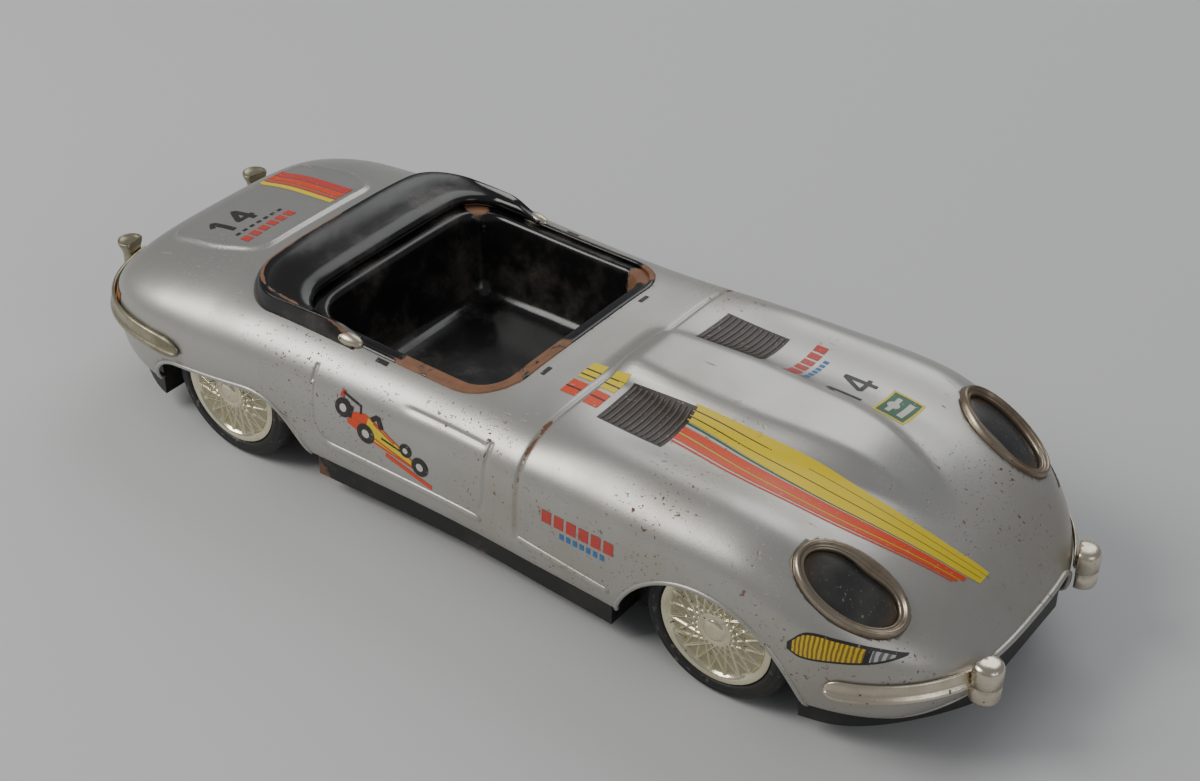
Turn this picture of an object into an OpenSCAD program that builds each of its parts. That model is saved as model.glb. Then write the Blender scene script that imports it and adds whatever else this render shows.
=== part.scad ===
// Friction tin car: an open tin roadster with a flywheel friction motor on its rear axle.
// +X points forward, +Y to the car's left, +Z up. The tyres stand on z = 0.

/* [Running gear] */
// Distance between the front and the rear axle
wheelbase = 148; // [130:1:170]
// Place of the front axle, ahead of the middle of the car
front_axle_x = 73.5; // [66:0.5:82]
// Height of the axles above the body's own zero level
axle_z = 19; // [18:0.25:21]
// Outer radius of a tyre
tyre_r = 19; // [15:0.25:23]
// Width of a tyre
tyre_w = 8.5; // [6:0.25:10]
// Radius of the bright wheel disc
disc_r = 14.6; // [12:0.2:15.5]
// Distance from the centre plane to the outer side of a tyre
half_track = 43; // [39:0.5:46]
// Radius of both wheel axles
axle_r = 1.25; // [1:0.05:1.5]

/* [Body] */
// Greatest half-width of the body
body_half_w = 48.5; // [45:0.5:60]
// Front end of the body
nose_x = 130; // [126:1:160]
// Rear end of the body, as a distance behind the middle
tail_back = 128; // [122:1:150]
// Height of the bonnet and the boot above the ground
body_h = 48.5; // [44:0.5:56]
// Height of the body's lower edge
sill_z = 10.5; // [9:0.25:12]
// Thickness of the pressed tin in the body
shell_t = 0.8; // [0.6:0.1:1.2]
// Height of the bonnet's power bulge
bulge_h = 3.6; // [1:0.1:5]

/* [Cockpit] */
// Front edge of the cockpit opening
cockpit_front = 6.5; // [0:0.5:12]
// Rear edge of the cockpit opening
cockpit_rear = -57; // [-60:0.5:-50]
// Half-width of the cockpit opening
cockpit_half_w = 35.5; // [29.5:0.5:37]
// Depth of the cockpit tub below the rim
tub_depth = 20; // [14:0.5:22]
// How high the folded top stands above the body
top_rise = 3.4; // [2:0.1:5]

/* [Base plate] */
// Height of the base plate's underside
base_z = 5; // [4:0.25:6]
// Half-width of the base plate
base_half_w = 39.5; // [37:0.5:41]
// Thickness of the base plate
base_t = 0.8; // [0.6:0.1:1.2]

/* [Friction motor] */
// Tooth size of the gears (pitch diameter divided by teeth)
gear_module = 0.8; // [0.65:0.05:0.85]
// Teeth of the drive gear on the rear axle
drive_teeth = 30; // [26:1:30]
// Teeth of the large gear on the layshaft
lay_teeth = 26; // [22:1:26]
// Teeth of both pinions
pinion_teeth = 10; // [10:1:11]
// Radius of the flywheel
flywheel_r = 12; // [9:0.5:12]
// Width of the flywheel
flywheel_w = 7; // [5:0.5:9]
// Clear width between the motor's two side plates
motor_gap = 16; // [15:0.5:18]
// Radius of the layshaft and of the flywheel shaft
shaft_r = 1; // [0.8:0.05:1.2]

/* [Hidden] */

tail_x = -tail_back;
rear_axle_x = front_axle_x - wheelbase;
hub_z = axle_z;
lift = tyre_r - axle_z; // the body's zero level above the ground
running = 0.05; // radial clearance of a shaft in its bore
seat_gap = 0.05; // gap between two pieces that lie against each other
round_fn = 48;

// ---------- Curves ----------
function clamp01(t) = min(max(t, 0), 1);
function smooth(t) = let (u = clamp01(t)) u * u * (3 - 2 * u);
function slope(k, i) =
    let (a = max(i - 1, 0), b = min(i + 1, len(k) - 1)) (k[b][1] - k[a][1]) / (k[b][0] - k[a][0]);
// A smooth cubic through the points [x, value] of k
function curve(k, x) =
    let (
        last = len(k) - 1,
        u = min(max(x, k[0][0]), k[last][0]),
        i = max([for (j = [0:last - 1]) if (k[j][0] <= u) j]),
        h = k[i + 1][0] - k[i][0],
        t = (u - k[i][0]) / h
    )
    (2 * t ^ 3 - 3 * t ^ 2 + 1) * k[i][1] + (t ^ 3 - 2 * t ^ 2 + t) * h * slope(k, i)
    + (3 * t ^ 2 - 2 * t ^ 3) * k[i + 1][1] + (t ^ 3 - t ^ 2) * h * slope(k, i + 1);
// 1 along the middle, falling to 0 at distance "length" past "start"
function end_round(x, start, length, power) = (1 - clamp01((x - start) / length) ^ power) ^ (1 / power);

// ---------- Outer surface of the body ----------
// Each outline is a list of [place, value], the place running from -128 at the tail to 130 at the nose
nose_place = 130;
tail_place = 128;
function place(x) = x > 0 ? x * nose_place / nose_x : x * tail_place / tail_back;
function outline(k, x) = curve(k, place(x));
nose_plan_l = 44;
tail_plan_l = 42;
nose_side_l = 16;
tail_side_l = 12;
width_share = [[-130, 0.97], [-95, 0.98], [-74, 0.99], [-45, 0.97], [0, 0.96], [30, 0.98],
    [74, 1], [105, 0.99], [130, 0.97]];
height_drop = [[-130, 17.5], [-118, 8], [-108, 4.5], [-95, 1.9], [-75, 0], [-50, 0], [-20, 0.5],
    [10, 0.5], [30, 0], [60, 0], [80, 0.5], [95, 4], [108, 9.7], [120, 17], [130, 24.5]];
widest_z = [[-130, 27], [-95, 27], [-50, 23], [0, 21], [40, 22], [74, 26], [105, 25], [130, 20]];
edge_rise = [[-130, 9], [-110, 3.5], [-95, 2.5], [-45, 3], [45, 3], [94, 1], [115, 1], [130, 2.5]];
edge_share = [[-130, 0.9], [-50, 0.91], [0, 0.9], [74, 0.93], [100, 0.9], [130, 0.88]];
squareness = [[-130, 3.2], [-80, 3.2], [-50, 4.2], [0, 4.4], [40, 4.8], [80, 4.8], [95, 4], [130, 2.8]];
bulge_foot = [[22, 13], [45, 16.5], [60, 16.3], [83, 13], [106, 6]];
fender_y = 36;
valley_y = 22;

function plan_round(x) =
    x > 0 ? end_round(x, nose_x - nose_plan_l, nose_plan_l, 2.4)
    : end_round(-x, tail_back - tail_plan_l, tail_plan_l, 3.1);
function side_round(x) =
    x > 0 ? end_round(x, nose_x - nose_side_l, nose_side_l, 2)
    : end_round(-x, tail_back - tail_side_l, tail_side_l, 2);
function half_w(x) = body_half_w * outline(width_share, x) * plan_round(x);
function waist_z(x) = outline(widest_z, x);
function crown_z(x) = waist_z(x) + (body_h - outline(height_drop, x) - waist_z(x)) * side_round(x);
function edge_z(x) = waist_z(x) - (waist_z(x) - sill_z - outline(edge_rise, x)) * side_round(x);
function bonnet_share(x) = smooth((place(x) - 20) / 25) * smooth((112 - place(x)) / 30);
function bell(t) = exp(-t * t);
// Extra height of the power bulge, the fender ridges and the valleys between them
function relief(x, y) =
    bulge_h * smooth((place(x) - 18) / 9) * smooth((107 - place(x)) / 24)
        * (1 - smooth((abs(y) / outline(bulge_foot, x) - 0.45) / 0.55))
    + bonnet_share(x) * (1.1 * bell((abs(y) - fender_y) / 6) - 1.6 * bell((abs(y) - valley_y) / 8));
function share_z(x, y, wall) =
    let (r = clamp01(abs(y) / (half_w(x) - wall)), n = outline(squareness, x)) (1 - r ^ n) ^ (1 / n);
// Height over the point x, y of the surface that lies "wall" inside the body's upper surface
function skin_z(x, y, wall) =
    waist_z(x) + (crown_z(x) - wall - waist_z(x) + relief(x, y)) * share_z(x, y, wall);
function top_z(x, y) = skin_z(x, y, 0);

side_steps = 4;
top_steps = 15;
station_count = 58;
stations = [for (i = [0:station_count])
    let (t = i / station_count, even = tail_x + (nose_x - tail_x) * t,
        dense = (nose_x + tail_x) / 2 - (nose_x - tail_x) / 2 * cos(180 * t))
    min(max(0.4 * even + 0.6 * dense, tail_x + 0.15), nose_x - 0.15)];

// One side of a section as [distance from the centre plane, height], from the lower edge to the top
function half_section(x, wall, drop) =
    let (w = half_w(x) - wall, z0 = waist_z(x), zt = crown_z(x) - wall, ze = edge_z(x) - drop,
        k = outline(edge_share, x), n = outline(squareness, x))
    concat(
        [for (i = [0:side_steps - 1]) let (a = 90 * i / side_steps)
            [w * (k + (1 - k) * sin(a)), z0 - (z0 - ze) * cos(a)]],
        [for (i = [0:top_steps]) let (a = 90 * i / top_steps, y = w * cos(a) ^ (2 / n), s = sin(a) ^ (2 / n))
            [y, z0 + (zt - z0) * s + relief(x, y) * s]]);
// A whole section: up the right side, over the top and down the left side
function ring(x, place_x, wall, drop) =
    let (h = half_section(x, wall, drop), last = len(h) - 1)
    concat([for (p = h) [place_x, -p[0], p[1]]], [for (i = [last - 1:-1:0]) [place_x, h[i][0], h[i][1]]]);

// Joins equal rings of points into one closed solid
module loft(rings) {
    m = len(rings[0]);
    n = len(rings);
    points = [for (r = rings) each r];
    sides = [for (i = [0:n - 2]) for (j = [0:m - 1])
        let (a = i * m + j, b = i * m + (j + 1) % m, c = b + m, d = a + m)
        each [[a, b, c], [a, c, d]]];
    first = [for (j = [m - 1:-1:0]) j];
    final = [for (j = [0:m - 1]) (n - 1) * m + j];
    polyhedron(points, concat(sides, [first, final]), convexity = 8);
}

// ---------- Body shell ----------
arch_gap = 6; // from the tyre to the edge of the front arch
arch_drop = 11; // of the arch's centre below the axle
rear_arch_reach = 12.5;
cut_width = 3 * body_half_w;
mouth_half_w = 20;
mouth_top = 22.5;
tab_slot = [3.2, 1, 6];
tab_slot_x = -26;
tab_slot_y = 37.2;
cockpit_corner = 12;

module across(x, z, r) {
    translate([x, 0, z]) rotate([90, 0, 0]) cylinder(h = cut_width, r = r, center = true, $fn = 72);
}
module arch_cutters() {
    hull() across(front_axle_x, hub_z - arch_drop, tyre_r + arch_gap);
    hull() {
        across(rear_axle_x - rear_arch_reach, hub_z - 6.5, tyre_r - 7);
        across(rear_axle_x + rear_arch_reach, hub_z - 9, tyre_r - 1.2);
    }
}
module cockpit_cutter() {
    rear = cockpit_rear - 8;
    hull() for (x = [rear + cockpit_corner, cockpit_front - cockpit_corner])
        for (s = [-1, 1]) translate([x, s * (cockpit_half_w - cockpit_corner), sill_z + 20])
            cylinder(h = body_h, r = cockpit_corner, $fn = 48);
}
module mouth_cutter() {
    hull() for (s = [-1, 1]) for (z = [sill_z - 6, mouth_top - 4])
        translate([nose_x - 12, s * (mouth_half_w - 4), z]) rotate([0, 90, 0])
            cylinder(h = 20, r = 4, $fn = 24);
}
module tab_slot_cutters() {
    for (s = [-1, 1]) translate([tab_slot_x, s * tab_slot_y, top_z(tab_slot_x, tab_slot_y)])
        hull() cube(tab_slot, center = true);
    for (s = [-1, 1]) translate([cockpit_front + 3, s * 19.5, top_z(cockpit_front + 3, 19.5)])
        hull() cube([1, 3.2, 6], center = true);
}

// Headlights: a frame [along, across, outward] on the fender's front slope
lamp_x = nose_x - 28.8;
lamp_y = body_half_w - 13.9;
lamp_turn = -12;
lamp_a = 14;
lamp_b = 9;
bezel_w = 1.6;
bezel_h = 3;
lamp_reach = 7;
lamp_ends = [for (d = [[1, 0], [-1, 0], [0, 1], [0, -1]])
    top_z(lamp_x + lamp_reach * d[0], lamp_y + lamp_reach * d[1])];
lamp_slope_x = (lamp_ends[0] - lamp_ends[1]) / (2 * lamp_reach);
lamp_slope_y = (lamp_ends[2] - lamp_ends[3]) / (2 * lamp_reach);
lamp_out = let (v = [-lamp_slope_x, -lamp_slope_y, 1]) v / norm(v);
lamp_along = let (c = cos(lamp_turn), s = sin(lamp_turn), v = [c, s, lamp_slope_x * c + lamp_slope_y * s])
    v / norm(v);
lamp_across = cross(lamp_out, lamp_along);
lamp_z = (lamp_ends[0] + lamp_ends[1] + lamp_ends[2] + lamp_ends[3]) / 4 - 0.3;
module at_lamp(side) {
    u = lamp_along;
    v = lamp_across;
    w = lamp_out;
    mirror([0, side < 0 ? 1 : 0, 0])
        multmatrix([[u[0], v[0], w[0], lamp_x], [u[1], v[1], w[1], lamp_y],
            [u[2], v[2], w[2], lamp_z], [0, 0, 0, 1]])
            children();
}
module oval(a, b) {
    polygon([for (i = [0:39]) let (t = 9 * i) [a * cos(t), b * sin(t)]]);
}
module lamp_cutter(side) {
    at_lamp(side) hull() translate([0, 0, -6])
        linear_extrude(14) oval(lamp_a + seat_gap, lamp_b + seat_gap);
}

module body_shell() {
    inner_scale = 1 - 2 * shell_t / (nose_x - tail_x);
    color([0.66, 0.65, 0.62]) difference() {
        loft([for (x = stations) ring(x, x, 0, 0)]);
        loft([for (x = stations) ring(x, x * inner_scale, shell_t, sill_z + 6)]);
        cockpit_cutter();
        arch_cutters();
        mouth_cutter();
        tab_slot_cutters();
        for (s = [-1, 1]) lamp_cutter(s);
    }
}

// ---------- Base plate ----------
base_front = nose_x - 12;
base_rear = tail_x + 14;
base_wall_top = sill_z + 4.5;
well_y = half_track - tyre_w - 2.5;
well_gap = 2.5; // from a tyre to the side of its well
well_extra = 6.5;
front_well = [front_axle_x - tyre_r - well_gap - well_extra, front_axle_x + tyre_r + well_gap];
rear_well = [rear_axle_x - tyre_r - well_gap - well_extra, rear_axle_x + tyre_r + well_gap + well_extra];
function base_y(x, inset) = min(base_half_w, half_w(x) * 0.86 - 1.5) - inset;
function base_run(from, to, steps, inset) =
    [for (i = [0:steps]) let (x = from + (to - from) * i / steps) [x, base_y(x, inset)]];
function base_side(inset) = concat(
    base_run(base_rear + inset, rear_well[0] - inset, 4, inset),
    [[rear_well[0] - inset, well_y - inset], [rear_well[1] + inset, well_y - inset]],
    base_run(rear_well[1] + inset, front_well[0] - inset, 1, inset),
    [[front_well[0] - inset, well_y - inset], [front_well[1] + inset, well_y - inset]],
    base_run(front_well[1] + inset, base_front - inset, 6, inset));
module base_outline(inset) {
    side = base_side(inset);
    polygon(concat([for (p = side) [p[0], -p[1]]], [for (i = [len(side) - 1:-1:0]) side[i]]));
}
module base_plate() {
    color([0.05, 0.05, 0.05]) difference() {
        translate([0, 0, base_z]) linear_extrude(base_wall_top - base_z) base_outline(0);
        translate([0, 0, base_z + base_t]) linear_extrude(base_wall_top) base_outline(base_t);
    }
}

// ---------- Cockpit tub and folded top ----------
corner_steps = 8;
tub_t = 0.8;
tub_floor_z = body_h - 4 - tub_depth;
// Rounded rectangle round the cockpit, grown by "grow", clockwise seen from above
function cockpit_ring(grow) =
    let (r = max(cockpit_corner + grow, 1), x0 = cockpit_rear - grow, x1 = cockpit_front + grow,
        y1 = cockpit_half_w + grow,
        corners = [[x1 - r, y1 - r, 90], [x1 - r, r - y1, 0], [x0 + r, r - y1, -90], [x0 + r, y1 - r, -180]])
    [for (c = corners) for (i = [0:corner_steps]) let (a = c[2] - 90 * i / corner_steps)
        [c[0] + r * cos(a), c[1] + r * sin(a)]];
flange_gap = 0.25; // between the tub's flange and the tin above it
function under_skin(p) = skin_z(p[0], p[1], shell_t) - flange_gap;
// A level is [growth, share of the way down to the floor, drop]
function tub_ring(level) = [for (p = cockpit_ring(level[0]))
    let (top = under_skin(p)) [p[0], p[1], top + (tub_floor_z - top) * level[1] - level[2]]];
tub_levels = [[-14, 1, tub_t], [-9, 0.96, tub_t], [-5.2, 0.75, tub_t], [-3, 0.3, tub_t], [-1.2, 0.08, tub_t],
    [-0.4, 0, tub_t], [1.8, 0, tub_t], [1.8, 0, 0], [-0.8, 0, 0], [-2, 0.08, 0], [-3.8, 0.3, 0],
    [-6, 0.75, 0], [-9.8, 0.96, 0], [-14, 1, 0]];
module cockpit_tub() {
    color([0.04, 0.04, 0.04]) loft([for (l = tub_levels) tub_ring(l)]);
}

top_rear = cockpit_rear - 17.6;
top_tip = cockpit_rear + 22;
top_half_w = cockpit_half_w + 2.4;
// Half of a U: along one arm, round the corner, to the middle of the back
function u_half(tip, rear, y, corner) = concat(
    [for (i = [0:5]) [tip + (rear + corner - tip) * i / 5, y]],
    [for (i = [1:6]) let (a = 90 * i / 6) [rear + corner - corner * sin(a), y - corner + corner * cos(a)]],
    [for (i = [1:3]) [rear, (y - corner) * (1 - i / 3)]]);
top_outer = u_half(top_tip, top_rear, top_half_w, 12);
top_inner = u_half(top_tip, cockpit_rear + 0.6, cockpit_half_w - 1.4, 9);
// Across the cover: [share of the way in, share of the rise]
top_section = [[0, 0], [0.02, 0.75], [0.08, 1], [0.2, 1], [0.45, 0.72], [0.8, 0.42], [1, 0.3]];
function top_point(i, side, s, rise, lower) =
    let (p = top_outer[i] * (1 - s) + top_inner[i] * s, taper = 0.35 + 0.65 * smooth((top_tip - p[0]) / 16))
    [p[0], side * p[1], top_z(p[0], p[1]) + seat_gap + max((top_rise + 1) * rise * taper - lower, 0)];
function top_ring(i, side) = concat(
    [for (k = top_section) top_point(i, side, k[0], k[1], 0)],
    [for (j = [len(top_section) - 1:-1:1]) top_point(i, side, top_section[j][0], top_section[j][1], 0.9)]);
module folded_top() {
    last = len(top_outer) - 1;
    color([0.06, 0.06, 0.06]) loft(concat(
        [for (i = [0:last]) top_ring(i, -1)], [for (i = [last - 1:-1:0]) top_ring(i, 1)]));
}

// ---------- Headlights ----------
module headlight_bezel(side) {
    color([0.62, 0.58, 0.48]) at_lamp(side) translate([0, 0, -1.6]) difference() {
        linear_extrude(bezel_h) oval(lamp_a, lamp_b);
        translate([0, 0, -1]) linear_extrude(bezel_h + 2) oval(lamp_a - bezel_w, lamp_b - bezel_w);
    }
}
module headlight_lens(side) {
    reach = bezel_w + seat_gap;
    color([0.3, 0.3, 0.28]) at_lamp(side) translate([0, 0, -1])
        linear_extrude(1.2) oval(lamp_a - reach, lamp_b - reach);
}

// ---------- Bumpers ----------
bumper_t = 1;
bumper_gap = 0.2; // between a bumper and the body behind it
front_bumper_z = [19.5, 24];
rear_bumper_z = [27, 32];
front_bumper_x = [nose_x - 27, nose_x - 3.4];
rear_bumper_x = [tail_x + 1, tail_x + 42];
overrider_y = 0.4845 * body_half_w;
front_overrider_x = nose_x - 0.8;
rear_overrider_x = tail_x - 1.2;
bumper_steps = 20;
// Plan of the body between xs[0] and xs[1], moved "off" outwards, with its points closest at the car's end
function bumper_line(xs, off) =
    [for (i = [0:bumper_steps]) let (t = i / bumper_steps, share = xs[0] < 0 ? t * t : 1 - (1 - t) * (1 - t),
        x = xs[0] + (xs[1] - xs[0]) * share, run = (half_w(x + 0.05) - half_w(x - 0.05)) / 0.1,
        k = off / sqrt(1 + run * run))
        [x - run * k, half_w(x) + k]];
function backwards(list) = [for (i = [len(list) - 1:-1:0]) list[i]];
module bumper_outline(xs, off, thick) {
    polygon(concat(bumper_line(xs, off), backwards(bumper_line(xs, off + thick))));
}
module one_side(side) {
    mirror([0, side < 0 ? 1 : 0, 0]) children();
}
module bumper(side, xs, zs) {
    color([0.68, 0.64, 0.54]) one_side(side) translate([0, 0, zs[0]])
        linear_extrude(zs[1] - zs[0]) bumper_outline(xs, bumper_gap, bumper_t);
}
// A round post that stands in front of its bumper
module overrider(side, x, xs, z0, z1, r, flare) {
    color([0.68, 0.64, 0.54]) one_side(side) difference() {
        translate([x, overrider_y, z0]) rotate_extrude($fn = round_fn)
            polygon([[0, 0], [r - 0.6, 0], [r, 0.6], [r, z1 - z0 - 3.2], [r + flare, z1 - z0 - 1],
                [r + flare - 0.6, z1 - z0], [0, z1 - z0]]);
        translate([0, 0, z0 - 1]) linear_extrude(z1 - z0 + 2)
            polygon(concat(bumper_line(xs, bumper_gap + bumper_t + seat_gap), [[xs[1], 0], [xs[0], 0]]));
    }
}
module front_overrider(side) {
    overrider(side, front_overrider_x, [nose_x - 12, nose_x - 0.2], 16.6, 26.7, 3.7, 0);
}
module rear_overrider(side) {
    overrider(side, rear_overrider_x, [tail_x + 0.2, tail_x + 12], 23.5, 35, 2.9, 0.6);
}

// ---------- Axles and wheels ----------
core_out = 2.2;
core_w = 5.4;
core_r = disc_r - 1.2;
boss_w = 3;
boss_r = 3;
axle_half = half_track - core_out;
bracket_y = well_y - 7;
bracket_t = 1;

module lying(x, y, z) {
    translate([x, y, z]) rotate([90, 0, 0]) children();
}
// Turned so that +Z points out of the car at the tyre's outer face
module at_wheel(x, side) {
    translate([x, side * half_track, hub_z]) rotate([side < 0 ? 90 : -90, 0, 0]) children();
}
module axle(x) {
    color([0.55, 0.55, 0.53]) lying(x, 0, hub_z)
        cylinder(h = 2 * axle_half, r = axle_r, center = true, $fn = round_fn);
}
module tyre(x, side) {
    shoulder = min(2.2, (tyre_r - disc_r) / 2);
    color([0.07, 0.07, 0.07]) at_wheel(x, side) rotate_extrude($fn = 96)
        polygon([[core_r, -tyre_w + 1], [core_r + 1, -tyre_w], [tyre_r - shoulder, -tyre_w],
            [tyre_r - 0.5, -tyre_w + shoulder - 0.6], [tyre_r, -tyre_w + shoulder + 0.6],
            [tyre_r, -shoulder - 0.6], [tyre_r - 0.5, -shoulder + 0.6], [tyre_r - shoulder, -0.1],
            [disc_r + seat_gap, -0.1], [disc_r + seat_gap, -1.6], [core_r, -1.6]]);
}
module wheel_core(x, side) {
    color([0.12, 0.12, 0.12]) at_wheel(x, side) difference() {
        union() {
            translate([0, 0, -core_out - core_w]) cylinder(h = core_w, r = core_r - seat_gap, $fn = 96);
            translate([0, 0, -core_out - core_w - boss_w])
                cylinder(h = boss_w + 1, r = boss_r, $fn = round_fn);
        }
        translate([0, 0, -core_out - core_w - boss_w - 1])
            cylinder(h = core_w + boss_w + 3, r = axle_r, $fn = round_fn);
    }
}
module wheel_disc(x, side) {
    color([0.75, 0.72, 0.55]) at_wheel(x, side) rotate_extrude($fn = 96)
        polygon([[0, -core_out + seat_gap], [core_r - 0.4, -core_out + seat_gap],
            [core_r - 0.2, -1.5], [disc_r, -1.5], [disc_r, -0.2], [disc_r - 0.5, 0],
            [disc_r - 1.4, -0.1], [disc_r - 2, -0.9], [4.2, -0.3], [3.6, 0.4], [2.8, 0.7], [0, 0.8]]);
}
module axle_bracket(side) {
    foot = 7;
    top = hub_z + 4;
    color([0.5, 0.5, 0.48]) difference() {
        union() {
            lying(front_axle_x, side * bracket_y + bracket_t / 2, 0) linear_extrude(bracket_t)
                polygon([[-6, base_z + base_t], [6, base_z + base_t], [3.5, top], [-3.5, top]]);
            translate([front_axle_x - 6, side * bracket_y - (side > 0 ? foot : 0), base_z + base_t])
                cube([12, foot, bracket_t]);
        }
        lying(front_axle_x, side * bracket_y, hub_z)
            cylinder(h = 4 * bracket_t, r = axle_r + running, center = true, $fn = round_fn);
    }
}

// ---------- Friction motor ----------
plate_t = 1;
gear_w = 3;
pinion_w = 4.4;
pressure_angle = 25;
tooth_top = 0.8; // addendum in modules
tooth_root = 1.05; // dedendum in modules
backlash = 0.12;
lay_pos = let (d = gear_module * (drive_teeth + pinion_teeth) / 2, a = 125)
    [rear_axle_x + d * cos(a), hub_z + d * sin(a)];
fly_pos = let (d = gear_module * (lay_teeth + pinion_teeth) / 2, a = 200)
    [lay_pos[0] + d * cos(a), lay_pos[1] + d * sin(a)];
drive_y = -4.2;
lay_gear_y = 3.4;
plate_y = motor_gap / 2;
flywheel_y = plate_y + plate_t + 1.4;

// Involute: points of one flank at the roll angles t, for a base circle rb
function involute(rb, t) = [rb * (cos(t) + t * PI / 180 * sin(t)), rb * (sin(t) - t * PI / 180 * cos(t))];
function turn(p, a) = [p[0] * cos(a) - p[1] * sin(a), p[0] * sin(a) + p[1] * cos(a)];
function roll(rb, r) = r <= rb ? 0 : sqrt((r / rb) ^ 2 - 1) * 180 / PI;
module gear_outline(teeth) {
    rp = gear_module * teeth / 2;
    rb = rp * cos(pressure_angle);
    ra = rp + tooth_top * gear_module;
    rr = rp - tooth_root * gear_module;
    at_pitch = tan(pressure_angle) * 180 / PI - pressure_angle;
    half_tooth = 90 / teeth - backlash / 2 / rp * 180 / PI;
    start = roll(rb, max(rr, rb));
    steps = 4;
    flank = [for (i = [0:steps]) let (t = start + (roll(rb, ra) - start) * i / steps)
        turn(involute(rb, t), -half_tooth - at_pitch)];
    foot = turn([rr, 0], -half_tooth - at_pitch);
    low = rr < rb ? concat([foot], flank) : flank;
    high = [for (i = [len(low) - 1:-1:0]) [low[i][0], -low[i][1]]];
    tooth = concat(low, high);
    polygon([for (k = [0:teeth - 1]) for (p = tooth) turn(p, 360 * k / teeth)]);
}
// phase turns the gear; a tooth points along the phase angle
module gear(teeth, pos, y, width, bore, phase) {
    color([0.62, 0.5, 0.25]) lying(pos[0], y + width / 2, pos[1]) difference() {
        linear_extrude(width) rotate(phase) gear_outline(teeth);
        translate([0, 0, -1]) cylinder(h = width + 2, r = bore, $fn = round_fn);
    }
}
// Phase that puts a gap of the second gear where the first gear's tooth points
function meshed(angle, phase, teeth_a, teeth_b) =
    angle + 180 + 180 / teeth_b - (angle - phase) * -teeth_a / teeth_b;
lay_angle = 125;
fly_angle = 200;
drive_phase = lay_angle;
lay_pinion_phase = meshed(lay_angle, drive_phase, drive_teeth, pinion_teeth);
lay_gear_phase = fly_angle;
fly_pinion_phase = meshed(fly_angle, lay_gear_phase, lay_teeth, pinion_teeth);

module shaft(pos, y0, y1) {
    color([0.55, 0.55, 0.53]) lying(pos[0], y1, pos[1]) cylinder(h = y1 - y0, r = shaft_r, $fn = round_fn);
}
spacer_places = [[rear_axle_x - 26.5, base_z + 5.5], [rear_axle_x + 12.5, hub_z + 15],
    [rear_axle_x + 14, base_z + 5]];
module plate_outline() {
    floor_z = base_z + base_t;
    polygon([[rear_axle_x - 30, floor_z], [rear_axle_x + 17, floor_z], [rear_axle_x + 17, hub_z + 2],
        [rear_axle_x + 15.5, hub_z + 18], [lay_pos[0] + 3, lay_pos[1] + 4.5],
        [lay_pos[0] - 4, lay_pos[1] + 4.5], [fly_pos[0] - 6, fly_pos[1] + 3],
        [rear_axle_x - 30, fly_pos[1] - 4]]);
}
module motor_plate(side) {
    mid = side * (plate_y + plate_t / 2);
    foot = 6;
    color([0.5, 0.5, 0.48]) difference() {
        union() {
            lying(0, mid + plate_t / 2, 0) linear_extrude(plate_t) plate_outline();
            for (x = [rear_axle_x - 28, rear_axle_x + 10])
                translate([x, side > 0 ? plate_y : -plate_y - foot, base_z + base_t])
                    cube([6, foot, plate_t]);
        }
        lying(rear_axle_x, mid, hub_z) cylinder(h = 4, r = axle_r + running, center = true, $fn = round_fn);
        for (p = [lay_pos, fly_pos]) lying(p[0], mid, p[1])
            cylinder(h = 4, r = shaft_r + running, center = true, $fn = round_fn);
        for (p = spacer_places) lying(p[0], mid, p[1]) cylinder(h = 4, r = 1, center = true, $fn = round_fn);
    }
}
module motor_spacers() {
    head = 0.7;
    color([0.6, 0.6, 0.58]) for (p = spacer_places) {
        lying(p[0], 0, p[1]) cylinder(h = motor_gap, r = 1.6, center = true, $fn = round_fn);
        lying(p[0], 0, p[1]) cylinder(h = motor_gap + 2 * plate_t, r = 1, center = true, $fn = round_fn);
        for (s = [-1, 1]) lying(p[0], s * (plate_y + plate_t + head / 2), p[1])
            cylinder(h = head, r = 1.7, center = true, $fn = round_fn);
    }
}
module flywheel() {
    rim = 2.5;
    color([0.45, 0.45, 0.46]) lying(fly_pos[0], flywheel_y + flywheel_w, fly_pos[1]) rotate_extrude($fn = 96)
        polygon([[shaft_r, 1], [flywheel_r - rim, 1], [flywheel_r - rim, 0], [flywheel_r, 0],
            [flywheel_r, flywheel_w], [flywheel_r - rim, flywheel_w], [flywheel_r - rim, flywheel_w - 1],
            [shaft_r, flywheel_w - 1]]);
}

// Stands a piece on the ground with tyres of any size
module raised() {
    translate([0, 0, lift]) children();
}
raised() body_shell();
raised() base_plate();
raised() cockpit_tub();
raised() folded_top();
raised() headlight_bezel(-1);  // headlight_bezel_right
raised() headlight_bezel(1);  // headlight_bezel_left
raised() headlight_lens(-1);  // headlight_lens_right
raised() headlight_lens(1);  // headlight_lens_left
raised() bumper(-1, front_bumper_x, front_bumper_z);  // front_bumper_right
raised() bumper(1, front_bumper_x, front_bumper_z);  // front_bumper_left
raised() front_overrider(-1);  // front_overrider_right
raised() front_overrider(1);  // front_overrider_left
raised() bumper(-1, rear_bumper_x, rear_bumper_z);  // rear_bumper_right
raised() bumper(1, rear_bumper_x, rear_bumper_z);  // rear_bumper_left
raised() rear_overrider(-1);  // rear_overrider_right
raised() rear_overrider(1);  // rear_overrider_left
raised() axle_bracket(-1);  // axle_bracket_right
raised() axle_bracket(1);  // axle_bracket_left
raised() axle(front_axle_x);  // front_axle
raised() axle(rear_axle_x);  // rear_axle
raised() tyre(front_axle_x, -1);  // tyre_front_right
raised() tyre(front_axle_x, 1);  // tyre_front_left
raised() tyre(rear_axle_x, -1);  // tyre_rear_right
raised() tyre(rear_axle_x, 1);  // tyre_rear_left
raised() wheel_core(front_axle_x, -1);  // wheel_core_front_right
raised() wheel_core(front_axle_x, 1);  // wheel_core_front_left
raised() wheel_core(rear_axle_x, -1);  // wheel_core_rear_right
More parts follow.
